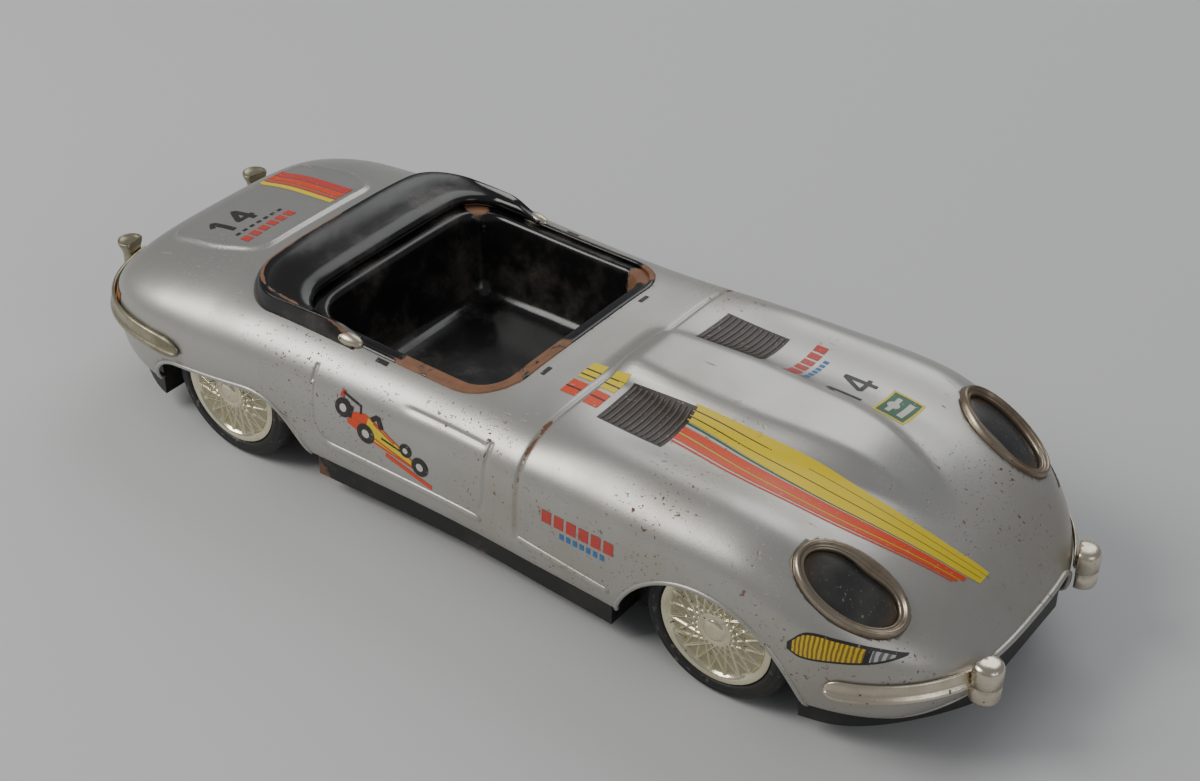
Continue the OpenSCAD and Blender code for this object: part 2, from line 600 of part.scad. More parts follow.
raised() wheel_core(rear_axle_x, 1);  // wheel_core_rear_left
raised() wheel_disc(front_axle_x, -1);  // wheel_disc_front_right
raised() wheel_disc(front_axle_x, 1);  // wheel_disc_front_left
raised() wheel_disc(rear_axle_x, -1);  // wheel_disc_rear_right
raised() wheel_disc(rear_axle_x, 1);  // wheel_disc_rear_left
raised() motor_plate(-1);  // motor_plate_right
raised() motor_plate(1);  // motor_plate_left
raised() motor_spacers();
raised() gear(drive_teeth, [rear_axle_x, hub_z], drive_y, gear_w, axle_r, drive_phase);  // drive_gear
raised() shaft(lay_pos, -plate_y - plate_t - 0.6, plate_y + plate_t + 0.6);  // layshaft
raised() gear(lay_teeth, lay_pos, lay_gear_y, gear_w, shaft_r, lay_gear_phase);  // layshaft_gear
raised() gear(pinion_teeth, lay_pos, drive_y, pinion_w, shaft_r, lay_pinion_phase);  // layshaft_pinion
raised() shaft(fly_pos, -plate_y - plate_t - 0.6, flywheel_y + flywheel_w + 0.6);  // flywheel_shaft
raised() gear(pinion_teeth, fly_pos, lay_gear_y, pinion_w, shaft_r, fly_pinion_phase);  // flywheel_pinion
raised() flywheel();
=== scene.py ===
# %% [markdown]
# # A friction tin car in Blender
#
# The car is an open roadster pressed from tin: one silver enamelled shell, a black tub and a black folded
# top, bright bumpers, rubber tyres with embossed wheel discs, and a flywheel motor under the boot. The CAD
# model gives every piece its place and every moving piece its joint. This lesson gives the pieces their
# looks. It works in millimetres and turns them to metres only when a mesh is made.

# %% Load the imported frame
import math

import bmesh
import bpy
import numpy as np
from mathutils import Matrix, Vector


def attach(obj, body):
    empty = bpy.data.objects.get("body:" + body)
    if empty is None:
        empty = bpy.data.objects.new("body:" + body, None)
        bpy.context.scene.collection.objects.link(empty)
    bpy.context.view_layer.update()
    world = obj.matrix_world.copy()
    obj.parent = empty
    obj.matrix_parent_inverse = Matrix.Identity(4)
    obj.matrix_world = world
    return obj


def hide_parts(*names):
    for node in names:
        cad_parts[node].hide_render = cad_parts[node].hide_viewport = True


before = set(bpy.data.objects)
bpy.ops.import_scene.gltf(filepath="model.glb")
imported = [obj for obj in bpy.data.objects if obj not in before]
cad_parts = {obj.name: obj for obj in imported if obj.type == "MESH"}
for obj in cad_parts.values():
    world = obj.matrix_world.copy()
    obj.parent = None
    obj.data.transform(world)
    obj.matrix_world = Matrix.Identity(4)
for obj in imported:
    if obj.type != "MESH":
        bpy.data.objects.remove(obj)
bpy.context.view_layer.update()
MM = 0.001

# %% [markdown]
# ## The camera
# The car is seen from its front right, from above, with a slightly long lens. The camera's axes are built
# from an azimuth, an elevation and a small roll, which is easier to read and to change than three Euler
# angles.

# %% Camera
CAMERA_PLACE = (244.4, -320.6, 311.9)
CAMERA_AZIMUTH, CAMERA_ELEVATION, CAMERA_ROLL = (math.radians(a) for a in (36.11, 35.21, 0.745))
camera_data = bpy.data.cameras.new("camera")
camera_data.sensor_width, camera_data.lens = 36.0, 59.79
camera_data.clip_start, camera_data.clip_end = 0.01, 20
camera = bpy.data.objects.new("camera", camera_data)
bpy.context.scene.collection.objects.link(camera)
back = Vector((math.sin(CAMERA_AZIMUTH) * math.cos(CAMERA_ELEVATION),
               -math.cos(CAMERA_AZIMUTH) * math.cos(CAMERA_ELEVATION), math.sin(CAMERA_ELEVATION)))
level = Vector((math.cos(CAMERA_AZIMUTH), math.sin(CAMERA_AZIMUTH), 0))
right = math.cos(CAMERA_ROLL) * level + math.sin(CAMERA_ROLL) * back.cross(level)
camera_turn = Matrix((right, back.cross(right), back)).transposed().to_4x4()
camera.matrix_world = Matrix.Translation(Vector(CAMERA_PLACE) * MM) @ camera_turn
bpy.context.scene.camera = camera
print("camera lens", camera_data.lens, "mm")

# %% [markdown]
# ## A studio
# Metallic enamel shows mostly what it mirrors, so the lamps are big and soft: the strongest stands to the
# left of the camera and gives the long highlights on the fenders, one behind the car lights its top, one
# fills the nose.

# %% Lamps
def add_lamp(name, place, target, size, power, tint=(1, 1, 1)):
    """A square soft lamp of a size in metres, turned to look at the target."""
    data = bpy.data.lights.new(name, "AREA")
    data.shape, data.size, data.energy, data.color = "SQUARE", size, power, tint
    lamp = bpy.data.objects.new(name, data)
    lamp.location = place
    lamp.rotation_euler = (Vector(target) - Vector(place)).to_track_quat("-Z", "Y").to_euler()
    bpy.context.scene.collection.objects.link(lamp)


world = bpy.data.worlds.new("studio")
world.use_nodes = True
world.node_tree.nodes["Background"].inputs[0].default_value = (0.62, 0.64, 0.68, 1)
world.node_tree.nodes["Background"].inputs[1].default_value = 0.40
bpy.context.scene.world = world
add_lamp("left_of_camera", (-0.62, -0.52, 0.72), (0.0, 0, 0.02), 0.55, 7.0, (1, 0.99, 0.96))
add_lamp("behind", (-0.15, 0.75, 0.75), (0.02, 0, 0.02), 0.7, 3.2, (0.98, 0.99, 1))
add_lamp("front", (0.95, -0.25, 0.5), (0.05, 0, 0.02), 0.5, 1.3)

# %% [markdown]
# ## Small tools for surfaces
# Every new piece is a grid of points: a function of two parameters, worked out with numpy for all points at
# once. A grid can close on itself in either direction, and an open end of a tube can be capped with one face.

# %% Grid tools
def smooth(t):
    """Runs from 0 to 1 with level ends: 3 t^2 - 2 t^3."""
    t = np.clip(t, 0, 1)
    return t * t * (3 - 2 * t)


def bell(t):
    """A bump of height 1 at 0: e to the power of minus t squared."""
    return np.exp(-np.square(t))


def unit(v):
    """Vectors scaled to length 1."""
    return v / np.maximum(np.linalg.norm(v, axis=-1, keepdims=True), 1e-12)


def grid_faces(rows, columns, close_rows=False, close_columns=False):
    """Quads between neighbours of a rows x columns grid of points."""
    i, j = np.meshgrid(np.arange(rows - (not close_rows)), np.arange(columns - (not close_columns)),
                       indexing="ij")
    k, m = (i + 1) % rows, (j + 1) % columns
    return np.stack([i * columns + j, k * columns + j, k * columns + m, i * columns + m], -1).reshape(-1, 4)


def make_piece(name, points, faces, material, body, flat=False, extra=()):
    """A mesh object at the origin from points in mm and faces, riding on a CAD body."""
    mesh = bpy.data.meshes.new(name)
    mesh.from_pydata((np.asarray(points).reshape(-1, 3) * MM).tolist(), [], [list(f) for f in faces]
                     + list(extra))
    mesh.validate()
    mesh.polygons.foreach_set("use_smooth", np.full(len(mesh.polygons), not flat))
    mesh.materials.append(material)
    piece = bpy.data.objects.new(name, mesh)
    bpy.context.scene.collection.objects.link(piece)
    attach(piece, body)
    return piece


def face_out(piece):
    """Welds doubles and turns every face outwards."""
    b = bmesh.new()
    b.from_mesh(piece.data)
    bmesh.ops.remove_doubles(b, verts=b.verts, dist=1e-6)
    bmesh.ops.recalc_face_normals(b, faces=b.faces)
    b.to_mesh(piece.data)
    b.free()
    return piece


def lathe(profile, steps=96):
    """Points of a profile of (radius, height) turned about Z, as a steps x profile grid."""
    p = np.asarray(profile, float)
    a = np.linspace(0, 2 * np.pi, steps, endpoint=False)[:, None]
    return np.stack([p[:, 0] * np.cos(a), p[:, 0] * np.sin(a), np.broadcast_to(p[:, 1], (steps, len(p)))], -1)


def resample(path, count, closed=False):
    """Points at equal distances along a path."""
    path = np.asarray(path, float)
    p = np.vstack([path, path[:1]]) if closed else path
    run = np.append(0, np.cumsum(np.linalg.norm(np.diff(p, axis=0), axis=1)))
    at = np.linspace(0, run[-1], count, endpoint=not closed)
    return np.stack([np.interp(at, run, axis) for axis in p.T], -1)


def sweep(path, up, section, closed=False, scale=1.0):
    """Carries a section of (sideways, up) points along a path; up is the upward direction at each path point.
    The scale shrinks the section at each path point, as one number or as a (sideways, up) pair."""
    path, up, section = (np.asarray(a, float) for a in (path, up, section))
    ahead, behind = np.roll(path, -1, 0), np.roll(path, 1, 0)
    run = ahead - behind if closed else np.gradient(path, axis=0)
    side = unit(np.cross(run, up))
    rise = unit(np.cross(side, run))
    sizes = np.ones((len(path), 2)) * (scale if np.ndim(scale) == 2 else np.reshape(scale, (-1, 1)))
    s = section[None] * sizes[:, None]
    return path[:, None] + s[..., :1] * side[:, None] + s[..., 1:] * rise[:, None]


def add_loft(name, rings, material, body, closed=False):
    """Joins equal closed rings of points into a solid, with a cap at both ends unless the loft is closed."""
    rows, columns = rings.shape[:2]
    caps = [] if closed else [list(range(columns)), list(range((rows - 1) * columns, rows * columns))]
    return face_out(make_piece(name, rings, grid_faces(rows, columns, closed, True), material, body,
                               extra=caps))


def add_sweep(name, path, up, section, material, body, closed=False, scale=1.0):
    """A solid bar: a closed section carried along a path."""
    return add_loft(name, sweep(path, up, section, closed, scale), material, body, closed)


def ring_section(radius, steps=10):
    a = np.linspace(0, 2 * np.pi, steps, endpoint=False)
    return radius * np.stack([np.cos(a), np.sin(a)], -1)


def round_section(half_width, height, steps=10, foot=0.3):
    """A half ellipse that stands on a small foot below the surface."""
    a = np.linspace(0, np.pi, steps)
    arc = np.stack([half_width * np.cos(a), height * np.sin(a)], -1)
    return np.vstack([[[half_width, -foot]], arc, [[-half_width, -foot]]])


# %% [markdown]
# ## The shape of the body
# The pressed shell is described the way a panel beater would check it, by a few outlines along the car: how
# wide it is, where it is widest, how high its crown lies, and how square its section is. Each section is a
# superellipse above the widest line and a quarter ellipse below it. The bonnet adds a bulge, two fender
# crests and two valleys. These are the same outlines as in the CAD source, so that the skin lies where the
# CAD shell lies.

# %% Outlines of the body
NOSE_X, TAIL_X, HALF_WIDTH, BODY_HEIGHT, SILL_Z = 130.0, -128.0, 48.5, 48.5, 10.5
BULGE_HEIGHT, FENDER_Y, VALLEY_Y = 3.6, 36.0, 22.0
WIDTH_SHARE = [(-130, 0.97), (-95, 0.98), (-74, 0.99), (-45, 0.97), (0, 0.96), (30, 0.98), (74, 1),
               (105, 0.99), (130, 0.97)]
HEIGHT_DROP = [(-130, 17.5), (-118, 8), (-108, 4.5), (-95, 1.9), (-75, 0), (-50, 0), (-20, 0.5), (10, 0.5),
               (30, 0), (60, 0), (80, 0.5), (95, 4), (108, 9.7), (120, 17), (130, 24.5)]
WIDEST_Z = [(-130, 27), (-95, 27), (-50, 23), (0, 21), (40, 22), (74, 26), (105, 25), (130, 20)]
EDGE_RISE = [(-130, 9), (-110, 3.5), (-95, 2.5), (-45, 3), (45, 3), (94, 1), (115, 1), (130, 2.5)]
EDGE_SHARE = [(-130, 0.9), (-50, 0.91), (0, 0.9), (74, 0.93), (100, 0.9), (130, 0.88)]
SQUARENESS = [(-130, 3.2), (-80, 3.2), (-50, 4.2), (0, 4.4), (40, 4.8), (80, 4.8), (95, 4), (130, 2.8)]
BULGE_FOOT = [(22, 13), (45, 16.5), (60, 16.3), (83, 13), (106, 6)]


def curve(outline, x):
    """A cubic through the outline's points, with slopes taken from the neighbours on either side."""
    place, value = np.array(outline, float).T
    before, after = np.r_[0, 0:len(place) - 1], np.r_[1:len(place), len(place) - 1]
    slope = (value[after] - value[before]) / (place[after] - place[before])
    x = np.clip(x, place[0], place[-1])
    i = np.clip(np.searchsorted(place, x, side="right") - 1, 0, len(place) - 2)
    h = place[i + 1] - place[i]
    t = (x - place[i]) / h
    return ((2 * t**3 - 3 * t**2 + 1) * value[i] + (t**3 - 2 * t**2 + t) * h * slope[i]
            + (3 * t**2 - 2 * t**3) * value[i + 1] + (t**3 - t**2) * h * slope[i + 1])


def end_round(x, start, length, power):
    """1 along the middle, falling to 0 at distance "length" past "start"."""
    return (1 - np.clip((x - start) / length, 0, 1) ** power) ** (1 / power)


def at_ends(x, nose, tail):
    """The rounding of the nose ahead of the middle and of the tail behind it, each as (length, power)."""
    front = end_round(x, NOSE_X - nose[0], nose[0], nose[1])
    return np.where(x > 0, front, end_round(-x, -TAIL_X - tail[0], tail[0], tail[1]))


def half_width(x):
    return HALF_WIDTH * curve(WIDTH_SHARE, x) * at_ends(x, (44, 2.4), (42, 3.1))


def waist(x):
    return curve(WIDEST_Z, x)


def crown(x):
    return waist(x) + (BODY_HEIGHT - curve(HEIGHT_DROP, x) - waist(x)) * at_ends(x, (16, 2), (12, 2))


def lower_edge(x):
    return waist(x) - (waist(x) - SILL_Z - curve(EDGE_RISE, x)) * at_ends(x, (16, 2), (12, 2))


def relief(x, y):
    """Extra height of the bonnet: a flat-topped bulge, two fender crests and two valleys."""
    along = smooth((x - 18) / 9) * smooth((107 - x) / 24)
    across = 1 - smooth((np.abs(y) / curve(BULGE_FOOT, x) - 0.45) / 0.55)
    bonnet = smooth((x - 20) / 25) * smooth((112 - x) / 30)
    crest = 1.1 * bell((np.abs(y) - FENDER_Y) / 6) - 1.6 * bell((np.abs(y) - VALLEY_Y) / 8)
    return BULGE_HEIGHT * along * across + bonnet * crest


def top_z(x, y):
    """Height of the body's upper surface over the point x, y."""
    n = curve(SQUARENESS, x)
    share = (1 - np.clip(np.abs(y) / np.maximum(half_width(x), 1e-6), 0, 1) ** n) ** (1 / n)
    return waist(x) + (crown(x) - waist(x) + relief(x, y)) * share


def side_y(x, z):
    """Distance of the body's side from the centre plane at x, z; 0 above the crown or below the edge."""
    n, middle = curve(SQUARENESS, x), waist(x)
    up = np.clip((z - middle) / np.maximum(crown(x) - middle, 1e-6), 0, 1)
    down = np.clip((middle - z) / np.maximum(middle - lower_edge(x), 1e-6), 0, 1)
    k = curve(EDGE_SHARE, x)
    low = np.where(down < 1, k + (1 - k) * np.sqrt(1 - down**2), 0)
    return half_width(x) * np.where(z >= middle, (1 - up**n) ** (1 / n), low)


def nose_front(y, z):
    """How far forward the body reaches at y, z, found by halving the distance between inside and outside."""
    inside, outside = np.full(np.shape(y), 96.0), np.full(np.shape(y), NOSE_X)
    for _ in range(30):
        middle = (inside + outside) / 2
        within = np.abs(y) < side_y(middle, z)
        inside, outside = np.where(within, middle, inside), np.where(within, outside, middle)
    return inside


def top_normal(x, y, step=0.3):
    """Unit vector out of the upper surface, from the heights of neighbouring points."""
    sx = (top_z(x + step, y) - top_z(x - step, y)) / (2 * step)
    sy = (top_z(x, y + step) - top_z(x, y - step)) / (2 * step)
    return unit(np.stack([-sx, -sy, np.ones_like(sx)], -1))


def side_normal(x, z, step=0.3):
    """Unit vector out of the body's left side at x, z."""
    sx = (side_y(x + step, z) - side_y(x - step, z)) / (2 * step)
    sz = (side_y(x, z + step) - side_y(x, z - step)) / (2 * step)
    return unit(np.stack([-sx, np.ones_like(sx), -sz], -1))


print("body crown at the middle:", round(float(top_z(np.array(60.0), np.array(0.0))), 2), "mm")

# %% [markdown]
# ## Materials from nodes
# A finish is built from a few layers, each with its own noise on Object coordinates: a base colour that
# drifts, fine metal flake, dirt and chips. A small helper keeps the node code short: it makes a node, sets
# its numbers and links whatever is a socket. Values that are the same all over are set on the shader itself.

# %% Node helper
class Finish:
    """Builds one material, with the Principled shader as .shader and Object coordinates as .place."""

    def __init__(self, name, **shader_values):
        self.material = bpy.data.materials.new(name)
        self.material.use_nodes = True
        self.tree = self.material.node_tree
        self.shader = self.tree.nodes["Principled BSDF"]
        for key, value in shader_values.items():
            self.shader.inputs[key].default_value = value
        self.place = self.node("ShaderNodeTexCoord").outputs["Object"]

    def node(self, kind, values=(), **settings):
        """A node with its settings, and its inputs set to numbers or linked to sockets."""
        n = self.tree.nodes.new(kind)
        for key, value in settings.items():
            setattr(n, key, value)
        for key, value in dict(values).items():
            if isinstance(value, bpy.types.NodeSocket):
                self.tree.links.new(value, n.inputs[key])
            else:
                n.inputs[key].default_value = value
        return n

    def math(self, operation, a, b=0.0, clamp=False):
        return self.node("ShaderNodeMath", {0: a, 1: b}, operation=operation, use_clamp=clamp).outputs[0]

    def noise(self, scale, detail=3.0, stretch=None, rough=0.5):
        """Soft noise; stretch scales the coordinates along each axis, for streaks and scratches."""
        place = self.place
        if stretch:
            place = self.node("ShaderNodeMapping", {"Vector": place, "Scale": stretch}).outputs[0]
        return self.node("ShaderNodeTexNoise", {"Vector": place, "Scale": scale, "Detail": detail,
                                                "Roughness": rough} ).outputs["Fac"]

    def ramp(self, value, low, high):
        """0 below low, 1 above high, smooth between."""
        values = {"Value": value, "From Min": low, "From Max": high}
        return self.node("ShaderNodeMapRange", values, interpolation_type="SMOOTHSTEP").outputs["Result"]

    def mix(self, share, a, b):
        """Colour a where share is 0, colour b where it is 1."""
        n = self.node("ShaderNodeMix", data_type="RGBA")
        for socket, value in ((n.inputs[0], share), (n.inputs[6], a), (n.inputs[7], b)):
            if isinstance(value, bpy.types.NodeSocket):
                self.tree.links.new(value, socket)
            elif isinstance(value, tuple):
                socket.default_value = (*value, 1.0)
            else:
                socket.default_value = value
        return n.outputs[2]

    def blend(self, share, a, b):
        """Number a where share is 0, number b where it is 1."""
        return self.node("ShaderNodeMapRange", {"Value": share, "To Min": a, "To Max": b}).outputs["Result"]

    def worn(self):
        """The wear painted on the mesh's points, 0 to 1; on the wheel discs it holds painted shade between the
        spokes.
        """
        return self.node("ShaderNodeAttribute", attribute_name="wear").outputs["Fac"]

    def bump(self, height, distance, strength=1.0, under=None):
        values = {"Height": height, "Distance": distance, "Strength": strength}
        if under is not None:
            values["Normal"] = under
        return self.node("ShaderNodeBump", values).outputs[0]

    def finish(self, **sockets):
        for key, socket in sockets.items():
            self.tree.links.new(socket, self.shader.inputs[key.replace("_", " ")])
        return self.material


def paint_wear_and_shade(piece, values):
    """Stores one wear value a point, which a finish reads as its wear; on the wheel discs the value is painted
    shade.
    """
    attribute = piece.data.attributes.new("wear", "FLOAT", "POINT")
    attribute.data.foreach_set("value", np.asarray(values, np.float32).ravel())


def points_of(piece):
    """The points of a piece in mm, after its doubles were welded."""
    return np.array([v.co for v in piece.data.vertices]) / MM


def leave_unworn(piece):
    """Marks a piece as nowhere worn."""
    paint_wear_and_shade(piece, np.zeros(len(piece.data.vertices)))


# %% [markdown]
# ## Silver enamel and the inks printed on it
# The enamel is a thin metallic lacquer, greyed by age. Small rust specks and short scratches go through the
# lacquer and through every ink printed on it, so one function works out the damage and each ink asks for it:
# the same coordinates give the same specks in all of them.

# %% Enamel and inks
RUST, DARK_RUST, BARE_TIN = (0.23, 0.095, 0.04), (0.09, 0.045, 0.028), (0.5, 0.47, 0.42)


def damage(f, wear=None):
    """Shares of rust specks, of dark scratches and of brown haze, raised where the mesh is marked as worn."""
    patches = f.ramp(f.noise(32, 3), 0.42, 0.66)
    fine = f.ramp(f.noise(1300, 2), 0.66, 0.70)
    large = f.ramp(f.noise(430, 3, rough=0.6), 0.66, 0.70)
    specks = f.math("MULTIPLY", f.math("MAXIMUM", fine, large), patches)
    scratches = f.ramp(f.noise(190, 4, stretch=(0.35, 2.6, 1.2), rough=0.65), 0.675, 0.71)
    scratches = f.math("MULTIPLY", scratches, f.ramp(f.noise(24, 2), 0.46, 0.6))
    haze = f.math("MULTIPLY", f.ramp(f.noise(14, 5, rough=0.7), 0.42, 0.75), 0.5)
    if wear is not None:
        chips = f.ramp(f.math("ADD", f.math("MULTIPLY", wear, 0.5), f.noise(260, 4, rough=0.7)), 0.83, 0.93)
        specks = f.math("MAXIMUM", specks, chips)
        haze = f.math("ADD", haze, f.math("MULTIPLY", wear, 0.5), clamp=True)
    return specks, scratches, haze


def silver_enamel():
    f = Finish("silver_enamel")
    specks, scratches, haze = damage(f, f.worn())
    flake = f.noise(2600, 2)
    colour = f.mix(f.noise(9, 4), (0.40, 0.39, 0.36), (0.50, 0.49, 0.455))
    colour = f.mix(f.math("MULTIPLY", flake, 0.25), colour, (0.68, 0.67, 0.64))
    colour = f.mix(haze, colour, (0.31, 0.265, 0.205))
    colour = f.mix(scratches, colour, (0.17, 0.13, 0.105))
    colour = f.mix(specks, colour, f.mix(f.noise(300), DARK_RUST, RUST))
    hurt = f.math("MAXIMUM", specks, scratches)
    rough = f.blend(f.math("ADD", f.math("MULTIPLY", f.noise(40, 5), 0.6), f.math("MULTIPLY", flake, 0.4)),
                    0.30, 0.47)
    rough = f.math("ADD", rough, f.math("MULTIPLY", hurt, 0.35))
    normal = f.bump(f.noise(24, 2), 0.0022, 0.35)
    normal = f.bump(flake, 0.00004, 0.5, normal)
    normal = f.bump(f.math("SUBTRACT", 1.0, hurt), 0.00012, 0.8, normal)
    metal = f.blend(f.math("MAXIMUM", hurt, f.math("MULTIPLY", haze, 0.6)), 0.82, 0.0)
    return f.finish(Base_Color=colour, Roughness=rough, Metallic=metal, Normal=normal)


def ink(name, colour, second=None, ribs=0.0):
    """A printed colour with the enamel's damage in it; a second colour can shade it in fine ribs."""
    f = Finish(name)
    specks, scratches, haze = damage(f)
    tone = f.mix(f.math("MULTIPLY", f.noise(70, 4), 0.5), colour, tuple(0.75 * c + 0.01 for c in colour))
    if second:
        wave = f.node("ShaderNodeTexWave", {"Vector": f.place, "Scale": ribs, "Distortion": 2.2,
                                            "Detail": 2.0})
        tone = f.mix(f.ramp(wave.outputs["Fac"], 0.35, 0.6), second, tone)
    tone = f.mix(f.math("MULTIPLY", f.ramp(f.noise(1300, 2), 0.67, 0.7), 0.5), tone, BARE_TIN)
    tone = f.mix(f.math("MULTIPLY", haze, 0.5), tone, tuple(0.5 * c + 0.03 for c in colour))
    tone = f.mix(f.math("MAXIMUM", specks, scratches), tone, (0.13, 0.08, 0.055))
    rough = f.blend(f.noise(60, 4), 0.33, 0.5)
    return f.finish(Base_Color=tone, Roughness=rough, Normal=f.bump(f.noise(24, 2), 0.0022, 0.35))


enamel = silver_enamel()
INKS = {
    "yellow": ink("ink_yellow", (0.82, 0.62, 0.008)),
    "orange_red": ink("ink_orange_red", (0.74, 0.065, 0.006)),
    "red": ink("ink_red", (0.55, 0.05, 0.035)),
    "blue": ink("ink_blue", (0.03, 0.17, 0.42)),
    "green": ink("ink_green", (0.012, 0.12, 0.05)),
    "dark": ink("ink_dark", (0.022, 0.018, 0.016)),
    "pale": ink("ink_pale", (0.62, 0.60, 0.54)),
    "brown": ink("ink_brown", (0.035, 0.026, 0.021)),
    "lamp_amber": ink("ink_lamp_amber", (0.78, 0.52, 0.015), (0.20, 0.12, 0.01), 330.0),
    "lamp_clear": ink("ink_lamp_clear", (0.58, 0.58, 0.55), (0.10, 0.10, 0.10), 260.0),
    "rib": ink("ink_rib", (0.12, 0.092, 0.075)),
    "tail_amber": ink("ink_tail_amber", (0.62, 0.22, 0.02), (0.25, 0.05, 0.01), 300.0),
}
print(len(INKS), "inks")

# %% [markdown]
# ## The other finishes
# Black tin is a satin lacquer with dust; the tub and the folded top are glossier and worn to rust along their
# edges. The bright parts are plated, and the plating has gone warm and cloudy. Rubber is rough, with pale
# dust on it.

# %% Black, plated, rubber and plain finishes
def black_lacquer(name, low, high, dust, chips):
    """Black lacquer between two roughnesses, with pale dust, and rust where the mesh is marked as worn."""
    f = Finish(name, IOR=1.5)
    cloud = f.math("MULTIPLY", f.ramp(f.noise(38, 5, rough=0.65), 0.46, 0.78), dust)
    fine = f.math("MULTIPLY", f.ramp(f.noise(1100, 2), 0.68, 0.73), f.math("MULTIPLY", cloud, 0.9))
    colour = f.mix(f.math("MAXIMUM", cloud, fine), (0.0075, 0.007, 0.0068), (0.115, 0.10, 0.085))
    worn = f.math("ADD", f.math("MULTIPLY", f.worn(), 0.62), f.noise(95, 5, rough=0.72))
    rust = f.math("MULTIPLY", f.ramp(worn, 0.86, 0.93), chips)
    edge = f.math("MULTIPLY", f.ramp(worn, 0.80, 0.87), chips)
    colour = f.mix(edge, colour, (0.055, 0.042, 0.036))
    rusty = f.mix(f.noise(210, 5, rough=0.7), (0.085, 0.042, 0.026), (0.36, 0.165, 0.075))
    colour = f.mix(rust, colour, rusty)
    rough = f.math("ADD", f.blend(f.noise(45, 4), low, high), f.math("MULTIPLY", rust, 0.45), clamp=True)
    rough = f.math("ADD", rough, f.math("MULTIPLY", cloud, 0.35), clamp=True)
    normal = f.bump(f.noise(60, 3), 0.0006, 0.3)
    normal = f.bump(f.math("SUBTRACT", 1.0, rust), 0.00015, 0.9, normal)
    return f.finish(Base_Color=colour, Roughness=rough, Normal=normal)


def plating(name, bright, dull, low, high, tarnish=0.5, grain=70.0):
    """Worn plating: bright metal that goes dull in clouds, with dark pits."""
    f = Finish(name)
    cloud = f.math("MULTIPLY", f.ramp(f.noise(grain, 5, rough=0.65), 0.38, 0.68), tarnish)
    # The mesh's wear dulls the metal further; on the wheel discs that wear is painted shade between the
    # spokes.
    cloud = f.math("MAXIMUM", cloud, f.math("MULTIPLY", f.worn(), 0.85))
    pits = f.ramp(f.noise(700, 3, rough=0.6), 0.66, 0.72)
    colour = f.mix(cloud, bright, dull)
    colour = f.mix(pits, colour, (0.10, 0.07, 0.045))
    rough = f.math("ADD", f.blend(cloud, low, high), f.math("MULTIPLY", pits, 0.3), clamp=True)
    normal = f.bump(f.noise(130, 3), 0.0003, 0.3)
    normal = f.bump(f.noise(1500, 3), 0.00004, 0.5, normal)
    return f.finish(Base_Color=colour, Roughness=rough, Metallic=f.blend(f.math("MAXIMUM", pits, cloud), 1.0,
                                                                         0.6), Normal=normal)


def tyre_rubber():
    f = Finish("tyre_rubber")
    dust = f.math("MULTIPLY", f.ramp(f.noise(60, 5, rough=0.7), 0.42, 0.75), 0.5)
    colour = f.mix(dust, (0.011, 0.0115, 0.012), (0.06, 0.052, 0.042))
    colour = f.mix(f.ramp(f.noise(600, 2), 0.62, 0.7), colour, (0.09, 0.08, 0.065))
    return f.finish(Base_Color=colour, Roughness=f.blend(dust, 0.55, 0.85),
                    Normal=f.bump(f.noise(500, 4), 0.00015, 0.6))


def smoky_lens():
    """Dark cloudy plastic with pale dust specks and a soft gloss."""
    f = Finish("smoky_lens", IOR=1.49)
    specks = f.ramp(f.noise(1300, 3, rough=0.6), 0.64, 0.72)
    haze = f.ramp(f.noise(90, 4), 0.35, 0.75)
    colour = f.mix(haze, (0.030, 0.030, 0.029), (0.072, 0.070, 0.062))
    colour = f.mix(f.math("MULTIPLY", specks, 0.7), colour, (0.26, 0.24, 0.19))
    colour = f.mix(f.math("MULTIPLY", f.worn(), 0.8), colour, (0.12, 0.075, 0.045))
    return f.finish(Base_Color=colour, Roughness=f.blend(f.noise(140, 4), 0.14, 0.36),
                    Normal=f.bump(f.noise(260, 3), 0.0002, 0.35))


black_tin = black_lacquer("black_tin", 0.34, 0.5, 0.32, 0.6)
black_gloss = black_lacquer("black_gloss_enamel", 0.10, 0.26, 0.75, 1.0)
nickel = plating("worn_nickel", (0.68, 0.61, 0.49), (0.36, 0.30, 0.21), 0.24, 0.48, 0.6)
olive_nickel = plating("tarnished_nickel", (0.42, 0.38, 0.27), (0.16, 0.14, 0.09), 0.28, 0.5, 0.9, 45.0)
bezel_metal = plating("bezel_nickel", (0.38, 0.32, 0.245), (0.14, 0.095, 0.06), 0.30, 0.5, 0.9, 60.0)
# On the wheel discs this dull colour also serves as painted shade between the spokes.
gold_chrome = plating("pale_gold_chrome", (0.88, 0.82, 0.60), (0.33, 0.29, 0.16), 0.14, 0.34, 0.4, 90.0)
tinplate = plating("plain_tin", (0.56, 0.56, 0.53), (0.38, 0.36, 0.31), 0.3, 0.5, 0.5)
steel = plating("axle_steel", (0.55, 0.55, 0.54), (0.33, 0.31, 0.28), 0.25, 0.45, 0.5)
brass = plating("gear_brass", (0.72, 0.53, 0.22), (0.42, 0.29, 0.12), 0.28, 0.48, 0.5)
iron = plating("flywheel_iron", (0.34, 0.34, 0.34), (0.16, 0.145, 0.13), 0.35, 0.55, 0.6)
core_plastic = black_lacquer("wheel_core_plastic", 0.4, 0.6, 0.3, 0.0)
rubber, lens = tyre_rubber(), smoky_lens()

KEPT_NODES = {"axle_bracket": tinplate, "motor_plate": tinplate, "motor_spacers": steel, "front_axle": steel,
              "rear_axle": steel, "layshaft": steel, "flywheel_shaft": steel, "drive_gear": brass,
              "layshaft_gear": brass, "layshaft_pinion": brass, "flywheel_pinion": brass, "flywheel": iron,
              "wheel_core": core_plastic}
for node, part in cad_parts.items():
    names = [key for key in KEPT_NODES if node == key or (node.startswith(key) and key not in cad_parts)]
    if names:
        part.data.materials.clear()
        part.data.materials.append(KEPT_NODES[max(names, key=len)])
print("finishes set on the kept CAD nodes")

# %% [markdown]
# ## The floor
# A pale matt floor, wide enough to run out of view behind the car.

